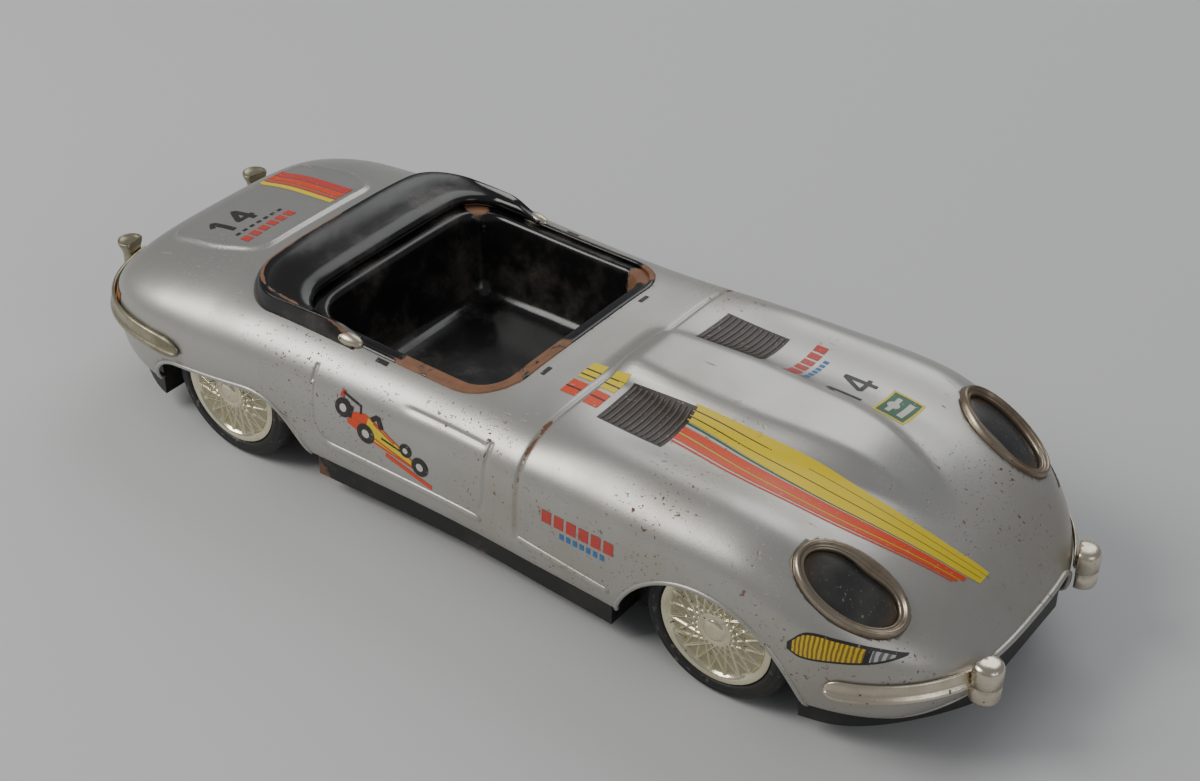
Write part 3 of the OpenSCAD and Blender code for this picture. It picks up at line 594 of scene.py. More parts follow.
# %% Floor
floor_finish = Finish("floor", Roughness=0.7)
floor_finish.shader.inputs["Base Color"].default_value = (0.60, 0.60, 0.595, 1)
floor_mesh = bpy.data.meshes.new("floor")
floor_mesh.from_pydata([(-3, -3, 0), (3, -3, 0), (3, 3, 0), (-3, 3, 0)], [], [(0, 1, 2, 3)])
floor_mesh.materials.append(floor_finish.material)
floor = bpy.data.objects.new("floor", floor_mesh)
bpy.context.scene.collection.objects.link(floor)

# %% [markdown]
# ## Where the shell is cut
# The press cuts the blank after drawing it: a cockpit, four wheel arches, a mouth under the nose and two lamp
# holes. Each cut is a signed distance, positive on the metal that stays, so that all cuts join with one
# minimum.

# %% Cut lines
SIDES = ((-1, "right"), (1, "left"))
AXLE_X, AXLE_Z, HALF_TRACK = {"front": 73.5, "rear": -74.5}, 19.0, 43.0
ARCHES = {"front": ((73.5, 8, 25), (73.5, 8, 25)), "rear": ((-87, 12.5, 12), (-62, 10, 17.8))}
COCKPIT_FRONT, COCKPIT_REAR, COCKPIT_HALF_WIDTH, COCKPIT_CORNER = 6.5, -57.0, 35.5, 12.0
LAMP_X, LAMP_Y, LAMP_TURN, LAMP_SIZE = 101.2, 34.6, math.radians(-12), (14.0, 9.0)


def rounded_box(u, v, half_u, half_v, corner):
    """Distance from a rounded rectangle round the origin, negative inside."""
    a, b = np.abs(u) - half_u + corner, np.abs(v) - half_v + corner
    return np.hypot(np.maximum(a, 0), np.maximum(b, 0)) + np.minimum(np.maximum(a, b), 0) - corner


def arch_distance(arch, x, z):
    """Distance from the shape that a circle covers as it grows from one end of the arch to the other."""
    (xa, za, ra), (xb, zb, rb) = ARCHES[arch]
    steps = np.linspace(0, 1, 26)
    return np.min([np.hypot(x - xa - (xb - xa) * t, z - za - (zb - za) * t) - ra - (rb - ra) * t
                   for t in steps], 0)


def cockpit_distance(x, y):
    rear = COCKPIT_REAR - 8
    return rounded_box(x - (COCKPIT_FRONT + rear) / 2, y, (COCKPIT_FRONT - rear) / 2, COCKPIT_HALF_WIDTH,
                       COCKPIT_CORNER)


def mouth_distance(y, z):
    return rounded_box(y, z - 11.5, 20, 11, 4)


def lamp_frame():
    """Place, long axis, short axis and outward axis of the left headlight."""
    step = 7.0
    ends = [float(top_z(np.array(LAMP_X + i), np.array(LAMP_Y + j)))
            for i, j in ((step, 0), (-step, 0), (0, step), (0, -step))]
    sx, sy = (ends[0] - ends[1]) / (2 * step), (ends[2] - ends[3]) / (2 * step)
    c, s = math.cos(LAMP_TURN), math.sin(LAMP_TURN)
    out, along = unit(np.array([-sx, -sy, 1])), unit(np.array([c, s, sx * c + sy * s]))
    return np.array([LAMP_X, LAMP_Y, sum(ends) / 4 - 0.3]), along, np.cross(out, along), out


def from_lamp(u, v, w):
    """Points in the left lamp's frame, turned into the car's frame."""
    place, along, across, out = lamp_frame()
    u, v, w = (np.asarray(a)[..., None] for a in (u, v, w))
    return place + u * along + v * across + w * out


def lamp_distance(p):
    place, along, across, out = lamp_frame()
    q = p * np.array([1, 0, 1]) + np.abs(p[..., 1:2]) * np.array([0, 1, 0]) - place
    oval = np.hypot(q @ along / LAMP_SIZE[0], q @ across / LAMP_SIZE[1])
    return np.where(np.abs(q @ out) < 8, (oval - 1) * LAMP_SIZE[1], 20)


def metal_left(p):
    """Distance inside the metal that stays, from the nearest cut."""
    x, y, z = p[..., 0], p[..., 1], p[..., 2]
    cuts = [arch_distance(arch, x, z) for arch in ARCHES]
    cuts += [np.where(z > 35, cockpit_distance(x, y), 30), np.where(x > 112, mouth_distance(y, z), 30),
             lamp_distance(p)]
    return np.min(cuts, 0)


# %% [markdown]
# ## What is pressed into the shell
# The same tool presses in the shut line ahead of the cockpit, the door outlines, a raised boot lid and the
# crease under the bonnet's edge. They move the skin by less than half a millimetre, and the light finds them
# all the same. The function gives that movement at any point of the body, so that the prints follow it too.

# %% Pressed lines
SHUT_X, BELT_Z = 22.4, 41.0
DOOR_MIDDLE_X, DOOR_HALF, DOOR_FOOT_Z, DOOR_CORNER = -14.7, 26.6, 22.0, 6.5
LID_MIDDLE_X, LID_HALF, LID_CORNER = -96.5, 15.5, 5.0


def shut_distance(x, y):
    return x - SHUT_X + 0.9 * smooth((np.abs(y) - 15) / 30)


def door_distance(x, z):
    return rounded_box(x - DOOR_MIDDLE_X, z - DOOR_FOOT_Z - 20, DOOR_HALF, 20, DOOR_CORNER)


def lid_distance(x, y):
    half = 21.5 + 3.3 * smooth((-81 - x) / 15)
    return rounded_box(x - LID_MIDDLE_X, y, LID_HALF, half, LID_CORNER)


def pressed(p):
    """How far the press moves the skin outwards at the points p."""
    x, y, z = p[..., 0], p[..., 1], p[..., 2]
    side = (np.abs(y) > 40) & (z < BELT_Z + 1)
    depth = -0.42 * bell(shut_distance(x, y) / 0.5) * smooth((z - 21) / 1.5)
    depth -= np.where(side, 0.34 * bell(door_distance(x, z) / 0.45) * smooth((z - 23) / 2), 0)
    depth -= np.where(np.abs(y) > 38, 0.3 * bell((z - BELT_Z) / 0.5) * smooth((x + 14) / 2)
                      * smooth((11.5 - x) / 2), 0)
    on_lid = smooth(0.5 - lid_distance(x, y) / 1.4) * 0.42 + 0.3 * bell((lid_distance(x, y) + 0.7) / 0.75)
    return depth + np.where(z > 36, on_lid, 0)


# %% [markdown]
# ## The body skin
# One grid covers the whole shell, from the lower edge of the right side over the top to the lower edge of the
# left. Its rows are close where lines are pressed and at both ends, its columns are close round the
# shoulders. Faces that a cut crosses are clipped to it, and the sheet gets its thickness last.

# %% Body skin
ROW_GAP, COLUMN_GAP, SKIN = 1.25, 1.3, 0.7


def body_rows():
    """Places along the car: even along the middle, close at the ends and across the pressed lines."""
    ends = np.sin(np.linspace(0, 1.49, 26))
    rows = [np.arange(-111.5, 111.5, ROW_GAP), 111.5 + 18.35 * ends, -111.5 - 16.35 * ends]
    for start, stop in ((20.4, 23.8), (-42.9, -39.7), (10.4, 13.4), (-83, -79.6), (-113.4, -110.4)):
        rows.append(np.arange(start, stop, 0.34))
    rows = np.sort(np.concatenate(rows))
    return rows[np.append(True, np.diff(rows) > 0.16)]


def section_angles(below=11):
    """Angles round half a section, below the waist and above it."""
    a = np.linspace(0, np.pi / 2, 4000)
    n, width, height = 4.5, 47.0, 26.0
    r = (np.cos(a) ** n + np.sin(a) ** n) ** (-1 / n)
    y, z = width * r * np.cos(a), height * r * np.sin(a)
    run = np.hypot(np.gradient(y), np.gradient(z))
    turn = np.abs(np.gradient(np.unwrap(np.arctan2(np.gradient(z), np.gradient(y)))))
    lines = np.where(y > 40, bell((z - 20) / 1.1) / 0.45, 0)
    lines = lines + np.where(z > 20, bell((y - 23.2) / 2.6) / 1.1, 0)
    load = np.cumsum(run * (1 / COLUMN_GAP + lines) + 5 * turn)
    count = int(load[-1])
    above = np.interp(np.linspace(0, load[-1], count), load, a)
    return np.linspace(0, np.pi / 2, below, endpoint=False), above


def body_grid():
    """Points of the skin before it is pressed, as rows x columns."""
    x = body_rows()[:, None]
    low, high = section_angles()
    width, middle, n, k = half_width(x), waist(x), curve(SQUARENESS, x), curve(EDGE_SHARE, x)
    low_y, low_z = width * (k + (1 - k) * np.sin(low)), middle - (middle - lower_edge(x)) * np.cos(low)
    r = (np.cos(high) ** n + np.sin(high) ** n) ** (-1 / n)
    high_y, lift = width * r * np.cos(high), r * np.sin(high)
    high_y[:, -1] = 0
    high_z = middle + (crown(x) - middle + relief(x, high_y)) * lift
    y, z = np.hstack([low_y, high_y]), np.hstack([low_z, high_z])
    half = np.stack([np.broadcast_to(x, y.shape), y, z], -1)
    return np.concatenate([half * [1, -1, 1], half[:, -2::-1]], 1)


def grid_normals(p):
    return unit(np.cross(np.gradient(p, axis=0), np.gradient(p, axis=1)))


def clip_faces(points, keep, faces):
    """Cuts away the side where keep is negative, and gives the points and faces that are left."""
    inside = keep > 0
    count = inside[faces].sum(1)
    kept = faces[count == 4].tolist()
    parents = [(i, i, 0.0) for i in range(len(points))]
    added = {}
    for face in faces[(count > 0) & (count < 4)]:
        ring = []
        for a, b in zip(face.tolist(), np.roll(face, -1).tolist()):
            if inside[a]:
                ring.append(a)
            if inside[a] != inside[b]:
                key = (min(a, b), max(a, b))
                if key not in added:
                    added[key] = len(parents)
                    parents.append((*key, keep[key[0]] / (keep[key[0]] - keep[key[1]])))
                ring.append(added[key])
        kept.append(ring)
    used = sorted({i for face in kept for i in face})
    order = {old: new for new, old in enumerate(used)}
    share = np.array([parents[i] for i in used])
    a, b, t = share[:, 0].astype(int), share[:, 1].astype(int), share[:, 2:]
    return points[a] * (1 - t) + points[b] * t, [[order[i] for i in face] for face in kept]


def body_wear(p):
    """Where the enamel is worn: the shut line, the cockpit's edge, the rear arch and the lower edge."""
    x, y, z = p[:, 0], p[:, 1], p[:, 2]
    wear = bell(shut_distance(x, y) / 1.0) * (0.35 + 0.65 * bell((np.abs(y) - 40) / 7)) * (z > 24)
    wear = np.maximum(wear, 0.85 * bell(cockpit_distance(x, y) / 1.1) * (z > 35))
    wear = np.maximum(wear, 0.75 * bell((z - lower_edge(x)) / 1.6))
    wear = np.maximum(wear, 0.5 * bell(arch_distance("rear", x, z) / 2.2))
    wear = np.maximum(wear, 0.9 * bell((x + 41) / 8) * bell((z - lower_edge(x)) / 2.5))
    wear = np.maximum(wear, 0.6 * bell((x + 4) / 7) * bell((z - 42) / 2.5) * (y < 0))
    wear = np.maximum(wear, 0.35 * bell((x + 30) / 5) * bell((np.abs(y) - 39) / 3) * (z > 40))
    return wear


def add_body_skin():
    grid = body_grid()
    grid = grid + (pressed(grid) * (metal_left(grid) > -3))[..., None] * grid_normals(grid)
    tail = grid[:1] * [1, 1, 0] + [-0.1, 0, grid[0, :, 2].min()]
    grid = np.concatenate([tail, grid])
    rows, columns = grid.shape[:2]
    points, faces = clip_faces(grid.reshape(-1, 3), metal_left(grid).ravel(), grid_faces(rows, columns))
    skin = make_piece("body_skin", points, faces, enamel, "car")
    paint_wear_and_shade(skin, body_wear(points))
    sheet = skin.modifiers.new("thickness", "SOLIDIFY")
    sheet.thickness, sheet.offset = SKIN * MM, -1
    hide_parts("body_shell")
    print("body skin:", rows, "rows,", columns, "columns,", len(faces), "faces")
    return skin


body_skin = add_body_skin()
outward = np.array([f.normal.dot(f.center - Vector((0.0, 0.0, 0.02))) for f in body_skin.data.polygons])
print("faces that look outwards:", round(float((outward > 0).mean()), 3))

# %% [markdown]
# ## Laying things on the skin
# Beads, ribs and prints all lie on the same pressed surface. Two functions put any point on it, from above
# for the bonnet and the boot and from the side for the doors and the fenders, lifted off it as far as they
# are asked.

# %% Points on the skin
def on_top(x, y, lift=0.0):
    x, y = np.broadcast_arrays(np.asarray(x, float), np.asarray(y, float))
    p = np.stack([x, y, top_z(x, y)], -1)
    return p + (pressed(p) + lift)[..., None] * top_normal(x, y)


def on_side(x, z, side, lift=0.0):
    x, z = np.broadcast_arrays(np.asarray(x, float), np.asarray(z, float))
    p = np.stack([x, side_y(x, z), z], -1)
    return (p + (pressed(p) + lift)[..., None] * side_normal(x, z)) * [1, side, 1]


def cockpit_ring(grow, rear, count=180):
    """The cockpit's outline grown on all sides, anticlockwise seen from above, as equally spaced points."""
    r, half = max(COCKPIT_CORNER + grow, 1.0), COCKPIT_HALF_WIDTH + grow
    x0, x1 = rear - grow, COCKPIT_FRONT + grow
    corners = ((x1 - r, half - r), (x0 + r, half - r), (x0 + r, r - half), (x1 - r, r - half))
    points = [(x + r * math.cos(a), y + r * math.sin(a)) for i, (x, y) in enumerate(corners)
              for a in np.linspace(i * math.pi / 2, (i + 1) * math.pi / 2, 12)]
    return resample(points, count, closed=True)


# %% [markdown]
# ## Rolled edges
# Cut tin is sharp, so every edge that a child can touch is rolled into a small bead. Each bead is a thin
# round bar along a cut line: the wheel arches, the lip of the mouth and the hem along the sills.

# %% Beads along the cut edges
ARCH_BEAD, MOUTH_BEAD, HEM_BEAD = 0.6, 0.75, 0.5


def arch_path(arch, count=70):
    """Points (x, z) along an arch, from its rear foot to its front foot."""
    middle = {"front": (73.5, 8.0), "rear": (-74.5, 10.0)}[arch]
    a = np.linspace(math.radians(200), math.radians(-20), count)
    near, far = np.full(count, 2.0), np.full(count, 60.0)
    for _ in range(30):
        r = (near + far) / 2
        within = arch_distance(arch, middle[0] + r * np.cos(a), middle[1] + r * np.sin(a)) < 0
        near, far = np.where(within, r, near), np.where(within, far, r)
    x, z = middle[0] + near * np.cos(a), middle[1] + near * np.sin(a)
    above = z > lower_edge(x)
    return x[above], z[above]


def hem_paths():
    """The lower edge of the left side, as the runs of points that no arch cuts away."""
    x = np.concatenate([-111.5 - 16.4 * np.sin(np.linspace(1.55, 0, 30)), np.arange(-110.5, 111, 1.5),
                        111.5 + 18.4 * np.sin(np.linspace(0, 1.55, 30))])
    p = np.stack([x, half_width(x) * curve(EDGE_SHARE, x), lower_edge(x)], -1)
    left = np.flatnonzero((metal_left(p) > 0) & (p[:, 1] > 1))
    return [p[run] for run in np.split(left, np.flatnonzero(np.diff(left) > 1) + 1) if len(run) > 3]


for side, word in SIDES:
    for arch in ARCHES:
        x, z = arch_path(arch)
        add_sweep(f"{arch}_arch_bead_{word}", on_side(x, z, side, -0.15), side_normal(x, z) * [1, side, 1],
                  ring_section(ARCH_BEAD), enamel, "car")
    for i, path in enumerate(hem_paths()):
        add_sweep(f"hem_{i}_{word}", path * [1, side, 1], np.broadcast_to([0, 0, 1.0], path.shape),
                  ring_section(HEM_BEAD), enamel, "car")
lip_y = np.concatenate([np.full(10, -20.0), -16 - 4 * np.cos(np.linspace(0, 1.57, 8)),
                        np.linspace(-15, 15, 30), 16 + 4 * np.sin(np.linspace(0, 1.57, 8)),
                        np.full(10, 20.0)])
lip_z = np.concatenate([np.linspace(12.5, 18, 10), 18.5 + 4 * np.sin(np.linspace(0, 1.57, 8)),
                        np.full(30, 22.5), 18.5 + 4 * np.cos(np.linspace(0, 1.57, 8)),
                        np.linspace(18, 12.5, 10)])
lip = np.stack([nose_front(lip_y, lip_z), lip_y, lip_z], -1)
lip = lip[lip_z > lower_edge(lip[:, 0]) - 0.3]
add_sweep("mouth_lip", lip, unit(np.stack([np.ones(len(lip)), lip[:, 1] * 0.02, np.zeros(len(lip))], -1)),
          ring_section(MOUTH_BEAD), enamel, "car")
bend, corner = np.linspace(0, np.pi / 2, 12), 6.5
door_corner = np.column_stack([-34.8 - corner * np.cos(bend), 28.5 - corner * np.sin(bend)])
door_bead = np.vstack([[(-41.3, 38.5)], door_corner, [(11, 21.7)]])
for name, path, width in (("sill_bead", [(22, 22.2), (48.4, 20.2)], 0.95), ("door_bead", door_bead, 1.0)):
    x, z = resample(path, 90).T
    ends = end_round(np.abs(np.linspace(-1, 1, 90)), 0.93, 0.08, 2)
    for side, word in SIDES:
        add_sweep(f"{name}_{word}", on_side(x, z, side, -0.1), side_normal(x, z) * [1, side, 1],
                  round_section(width, 0.6), enamel, "car", scale=ends)

# %% [markdown]
# ## Prints
# The tin is printed flat before it is pressed, so every print is part of the surface. Here each one is a very
# thin patch laid on the pressed skin, drawn from bars, discs and ribbons in its own flat frame. The words on
# such toys are plain bars here, the number is a free one, and the racing car on the doors is a small design
# of its own.

# %% Tools for prints
PRINT_LIFT = 0.07


def bar(u0, u1, v0, v1, gap=1.0):
    """A flat rectangle as a grid of (u, v) points, close enough to bend over the skin."""
    u = np.linspace(u0, u1, max(int(abs(u1 - u0) / gap) + 1, 3))
    v = np.linspace(v0, v1, max(int(abs(v1 - v0) / gap) + 1, 3))
    return np.stack(np.meshgrid(u, v, indexing="ij"), -1)


def disc(u, v, radius, rings=4, steps=24):
    r, a = np.meshgrid(np.linspace(0.02, 1, rings) * radius, np.linspace(0, 2 * np.pi, steps + 1),
                       indexing="ij")
    return np.stack([u + r * np.cos(a), v + r * np.sin(a)], -1)


def ribbon(path, width, gap=0.8):
    """A stroke of a pen along a path, with square ends."""
    path = np.asarray(path, float)
    length = np.linalg.norm(np.diff(path, axis=0), axis=1).sum()
    path = resample(path, max(int(length / gap) + 1, 3))
    run = unit(np.gradient(path, axis=0))
    side = np.stack([-run[:, 1], run[:, 0]], -1)
    return path[:, None] + np.linspace(-width / 2, width / 2, 3)[None, :, None] * side[:, None]


def between(x, low, high, across=6):
    """A band between two outlines, each a function of x."""
    t = np.linspace(0, 1, across)
    return np.stack([np.broadcast_to(x[:, None], (len(x), across)),
                     low[:, None] * (1 - t) + high[:, None] * t], -1)


def add_print(name, patches, colour, lay, layer=0):
    """Joins flat patches into one thin printed piece; lay(u, v, lift) puts their points on the skin."""
    points, faces = [], []
    for patch in patches:
        p = lay(patch[..., 0], patch[..., 1], PRINT_LIFT + 0.03 * layer)
        quads = grid_faces(*p.shape[:2])
        flat = p.reshape(-1, 3)
        a, b, c = (flat[quads[:, i]] for i in (0, 1, 2))
        outward = np.sum(np.cross(b - a, c - b) * (a - [0, 0, 15] - a * [1, 0, 0]), -1).sum() > 0
        start = sum(len(group) for group in points)
        points.append(flat)
        faces += ((quads if outward else quads[:, ::-1]) + start).tolist()
    return make_piece(name, np.concatenate(points), faces, INKS[colour], "car")


def from_front(x, y):
    """A frame on the bonnet or boot, read from the front: u runs to the car's left, v to the tail."""
    return lambda u, v, lift: on_top(x - v, y + u, lift)


# %% [markdown]
# ## Stripes and louvres
# A band of stripes runs from each louvre panel's front edge to a slanting tip on the nose, on the right side
# only. The louvre panels are printed dark, with low ribs pressed across them.

# %% Stripes, stubs and louvres
STRIPE_INNER = [(45, 11.8), (72.6, 11.9), (95.6, 10.9), (109.6, 7.7), (121, 3.2)]
STRIPE_OUTER = [(45, 23.4), (73.8, 26.1), (95.2, 22.9), (113.9, 15.1), (121, 9.5)]
# colour, then its two edges at the louvre and at the tip, as shares of the band's width
STRIPES = [("yellow", 0, 0.33, 0, 0.58), ("dark", 0.10, 0.12, 0.17, 0.18), ("dark", 0.22, 0.24, 0.37, 0.385),
           ("green", 0.36, 0.40, 0.585, 0.60), ("pale", 0.42, 0.46, 0.605, 0.62),
           ("orange_red", 0.48, 0.64, 0.62, 0.80), ("yellow", 0.655, 0.68, 0.805, 0.825),
           ("orange_red", 0.69, 0.86, 0.83, 0.93), ("orange_red", 0.91, 0.96, 0.96, 1)]
STRIPE_START, STRIPE_END, TIP_SLANT = 46.3, 120.0, 5.5
LOUVRE_X, LOUVRE_Y, LOUVRE_RIBS = (29.3, 47.0), (12.3, 27.0), 11
BAND_X, BOOT_BAND = (-113, -83.5), [("yellow", 6.6, 8.2), ("orange_red", 8.7, 9.6),
                                    ("orange_red", 10.1, 12.2), ("red", 12.6, 15.6)]


def stripe(start_low, start_high, end_low, end_high):
    """One stripe of the band, its edges drifting from their shares at the louvre to those at the tip."""
    x = np.linspace(STRIPE_START, STRIPE_END - TIP_SLANT * (end_low + end_high) / 2, 80)
    inner, outer, t = curve(STRIPE_INNER, x), curve(STRIPE_OUTER, x), smooth((x - 42) / 45)
    low, high = start_low + (end_low - start_low) * t, start_high + (end_high - start_high) * t
    return between(x, -(inner + (outer - inner) * low), -(inner + (outer - inner) * high))


for i, (colour, *shares) in enumerate(STRIPES):
    add_print(f"stripe_{i}_{colour}", [stripe(*shares)], colour, on_top, layer=1 if colour == "dark" else 0)
for colour, y0, y1 in (("yellow", -10.8, -17.6), ("orange_red", -18.9, -24.4)):
    blocks = [bar(x0, x1, y0 + shift, y1 + shift) for x0, x1, shift in ((16.4, 20.6, 0.6), (23.3, 27.4, 0))]
    add_print(f"stubs_{colour}", blocks, colour, on_top)
add_print("stub_lines", [bar(x0, x1, y, y - 0.5) for x0, x1 in ((16.4, 20.6), (23.3, 27.4))
                         for y in (-13.1, -15.3, -21)], "dark", on_top, layer=1)
for colour, low, high in BOOT_BAND:
    x = np.linspace(*BAND_X, 110)
    bow = 1.6 * smooth((x + 113) / 30)
    add_print(f"boot_band_{low:.0f}_{colour}", [between(x, low + 2 - bow, high + 2 - bow, 4)], colour, on_top)
for side, word in SIDES:
    panel = bar(*LOUVRE_X, side * LOUVRE_Y[0], side * LOUVRE_Y[1])
    add_print(f"louvre_panel_{word}", [panel], "brown", on_top)
    for i in range(LOUVRE_RIBS):
        t = (i + 0.5) / LOUVRE_RIBS
        x = LOUVRE_X[0] + 0.4 + t * (LOUVRE_X[1] - LOUVRE_X[0] - 0.8)
        y = side * np.linspace(LOUVRE_Y[0] + 0.7, LOUVRE_Y[1] - 0.7, 18)
        add_sweep(f"louvre_rib_{i}_{word}", on_top(x, y, 0.08), top_normal(x + 0 * y, y),
                  round_section(0.36, 0.28, 6, 0.1), INKS["rib"], "car")

# %% [markdown]
# ## Numbers, bars and pictures

# %% Bonnet, boot and fender prints
DIGITS = {"1": [[(0.25, 0.72), (0.62, 1.0), (0.62, 0.0)]],
          "4": [[(0.74, 0.0), (0.74, 1.0), (0.05, 0.3), (1.02, 0.3)]]}


def number(text, height, pen):
    """Strokes of a number, its digits side by side."""
    strokes = []
    for i, digit in enumerate(text):
        for path in DIGITS[digit]:
            strokes.append(ribbon([((u * 0.62 + i * 0.8) * height, v * height) for u, v in path], pen, 0.5))
    return strokes


bonnet_number, boot_number = from_front(73.6, 11.6), from_front(-95.5, -19.5)
add_print("bonnet_number", number("14", 8.8, 1.2), "dark", bonnet_number)
add_print("boot_number", number("14", 8.6, 1.6), "dark", boot_number)
add_print("boot_small_bars", [bar(-93.2, -92.2, -18.5 + 2.5 * i, -17.1 + 2.5 * i) for i in range(7)], "dark",
          on_top)
add_print("boot_red_bars", [bar(-90.4, -87.4, -19.5 + 3.1 * i, -17.3 + 3.1 * i) for i in range(6)], "red",
          on_top)
add_print("bonnet_red_bars", [bar(53.6, 56.8, 12.0 + 2.9 * i, 14.2 + 2.9 * i) for i in range(6)], "red",
          on_top)
add_print("bonnet_blue_bars", [bar(58.0, 59.4, 13.5 + 1.7 * i, 14.6 + 1.7 * i) for i in range(7)], "blue",
          on_top)
add_print("badge_border", [bar(77.0, 85.4, 13.8, 24.6)], "yellow", on_top)
add_print("badge_field", [bar(77.6, 84.8, 14.4, 24.0)], "green", on_top, layer=1)
add_print("badge_shape", [bar(82.3, 83.8, 15.8, 22.6), disc(79.8, 19.2, 1.5), bar(79.2, 80.4, 15.8, 22.6)],
          "pale", on_top, layer=2)
for side, word in SIDES:
    def lay(x, z, lift, side=side):
        return on_side(x, z, side, lift)
    add_print(f"fender_red_bars_{word}", [bar(29.4 + 3.5 * i, 32.1 + 3.5 * i, 30.9, 34.2) for i in range(6)],
              "red", lay)
    add_print(f"fender_blue_bars_{word}", [bar(34.6 + 1.9 * i, 35.8 + 1.9 * i, 28.4, 29.9) for i in range(7)],
              "blue", lay)
    x = np.linspace(94.4, 116.2, 40)
    lamp_low = curve([(94.4, 29), (97.5, 27.7), (105, 28.5), (112, 29.2), (116.2, 29.9)], x)
    lamp_high = curve([(94.4, 30.8), (97.7, 34.2), (104, 33.9), (111, 32.2), (116.2, 30.3)], x)
    add_print(f"side_lamp_outline_{word}", [between(x, lamp_low, lamp_high)], "dark", lay)
    inner, outer = (x > 95.4) & (x < 109.5), (x > 110.3) & (x < 115)
    add_print(f"side_lamp_amber_{word}", [between(x[inner], lamp_low[inner] + 0.55, lamp_high[inner] - 0.55)],
              "lamp_amber", lay, layer=1)
    add_print(f"side_lamp_clear_{word}", [between(x[outer], lamp_low[outer] + 0.5, lamp_high[outer] - 0.5)],
              "lamp_clear", lay, layer=1)
    add_print(f"tail_lamp_outline_{word}", [bar(-120.5, -112, 28.6, 33.8)], "dark", lay)
    add_print(f"tail_lamp_{word}", [bar(-120, -112.6, 29.2, 33.2)], "tail_amber", lay, layer=1)
    # Painted shade: a dark print stands for the shaded openings of the empty slots beside and ahead of the
    # cockpit.
    add_print(f"painted_slot_shade_{word}", [bar(-27.8, -24.2, side * 36.7, side * 37.9),
                                    bar(8.6, 9.8, side * 17.8, side * 21.2)], "dark", on_top)

# %% [markdown]
# ## The racing car on the doors
# A low open car with wings at both ends, drawn from a few bars, ribbons and discs, tilted up a little at the
# front.

# %% Door picture
PICTURE_PLACE, PICTURE_TURN = (-34.5, 31.2), math.radians(-11)


def picture_frame(side):
    """Puts the flat drawing on a door: u forwards, v up, turned so that the nose points down."""
    c, s = math.cos(PICTURE_TURN), math.sin(PICTURE_TURN)
    return lambda u, v, lift: on_side(PICTURE_PLACE[0] + c * u - s * v, PICTURE_PLACE[1] + s * u + c * v,
                                      side, lift)


for side, word in SIDES:
    lay = picture_frame(side)
    u = np.linspace(4.5, 28, 34)
    low = np.interp(u, [4.5, 12, 28], [1.2, 0.3, 0.4])
    high = np.interp(u, [4.5, 9, 15, 21, 28], [4.6, 6.6, 5.6, 4.0, 1.6])
    front = u > 9.5
    add_print(f"picture_hull_{word}", [between(u, low, high, 5)], "orange_red", lay)
    add_print(f"picture_flank_{word}", [between(u[front], low[front] + 0.7, high[front] - 0.3, 5)], "yellow",
              lay, layer=1)
    add_print(f"picture_lines_{word}", [ribbon([(10, 2.0), (18, 1.5), (26, 1.0)], 0.45),
                                        ribbon([(12, 5.6), (19, 3.9)], 0.5), bar(0.8, 2.0, 6.8, 8.6)], "red",
              lay, layer=2)
    add_print(f"picture_road_{word}", [ribbon([(17, -0.7), (31.5, -1.5)], 1.2)], "orange_red", lay)
    add_print(f"picture_wings_{word}", [ribbon([(1.4, 8.0), (7.5, 7.6)], 0.55),
                                        ribbon([(7.3, 7.7), (7.9, 5.8)], 0.5),
                                        ribbon([(11.2, 6.2), (12.8, 7.8), (14.6, 5.4)], 1.3),
                                        bar(15, 22, 2.9, 3.5), bar(1.5, 5.5, 3.0, 6.2)], "dark", lay, layer=2)
    wheels = ((2.6, 4.4, 2.5), (10.4, 1.5, 2.7), (22.4, 4.2, 1.8), (27.2, 2.3, 2.5))
    add_print(f"picture_tyres_{word}", [disc(*wheel) for wheel in wheels], "dark", lay, layer=3)
    add_print(f"picture_hubs_{word}", [disc(a, b, 0.42 * r) for a, b, r in wheels], "pale", lay, layer=4)
print("prints are on")

# %% [markdown]
# ## Headlights
# Each bezel is a flat oval ring with a double rim, pressed from nickelled tin and tabbed into the fender. Its
# outer edge fills the hole in the shell, and its inner edge is pinched on the side that faces the bonnet. A
# dark moulded lens lies inside it.

# %% Bezels and lenses
# (share of the way in, height above the lamp's plane) round the ring's section
BEZEL_PROFILE = [(0, -1.5), (0, 0.15), (0.06, 0.7), (0.18, 1.15), (0.32, 1.35), (0.46, 1.25), (0.56, 0.85),
                 (0.64, 0.5), (0.74, 0.52), (0.84, 0.62), (0.93, 0.5), (1, 0.1), (1, -1.5)]
LENS_SIZE, LENS_PINCH = (11.4, 6.6), 0.2


def lamp_oval(t, size, pinch=0.0):
    """Outline of a lamp at the angle t, pinched on its inner side."""
    u, v = size[0] * np.cos(t), size[1] * np.sin(t)
    return u, v * np.where(v < 0, 1 - pinch * bell((u - 1.5) / 5.5), 1)


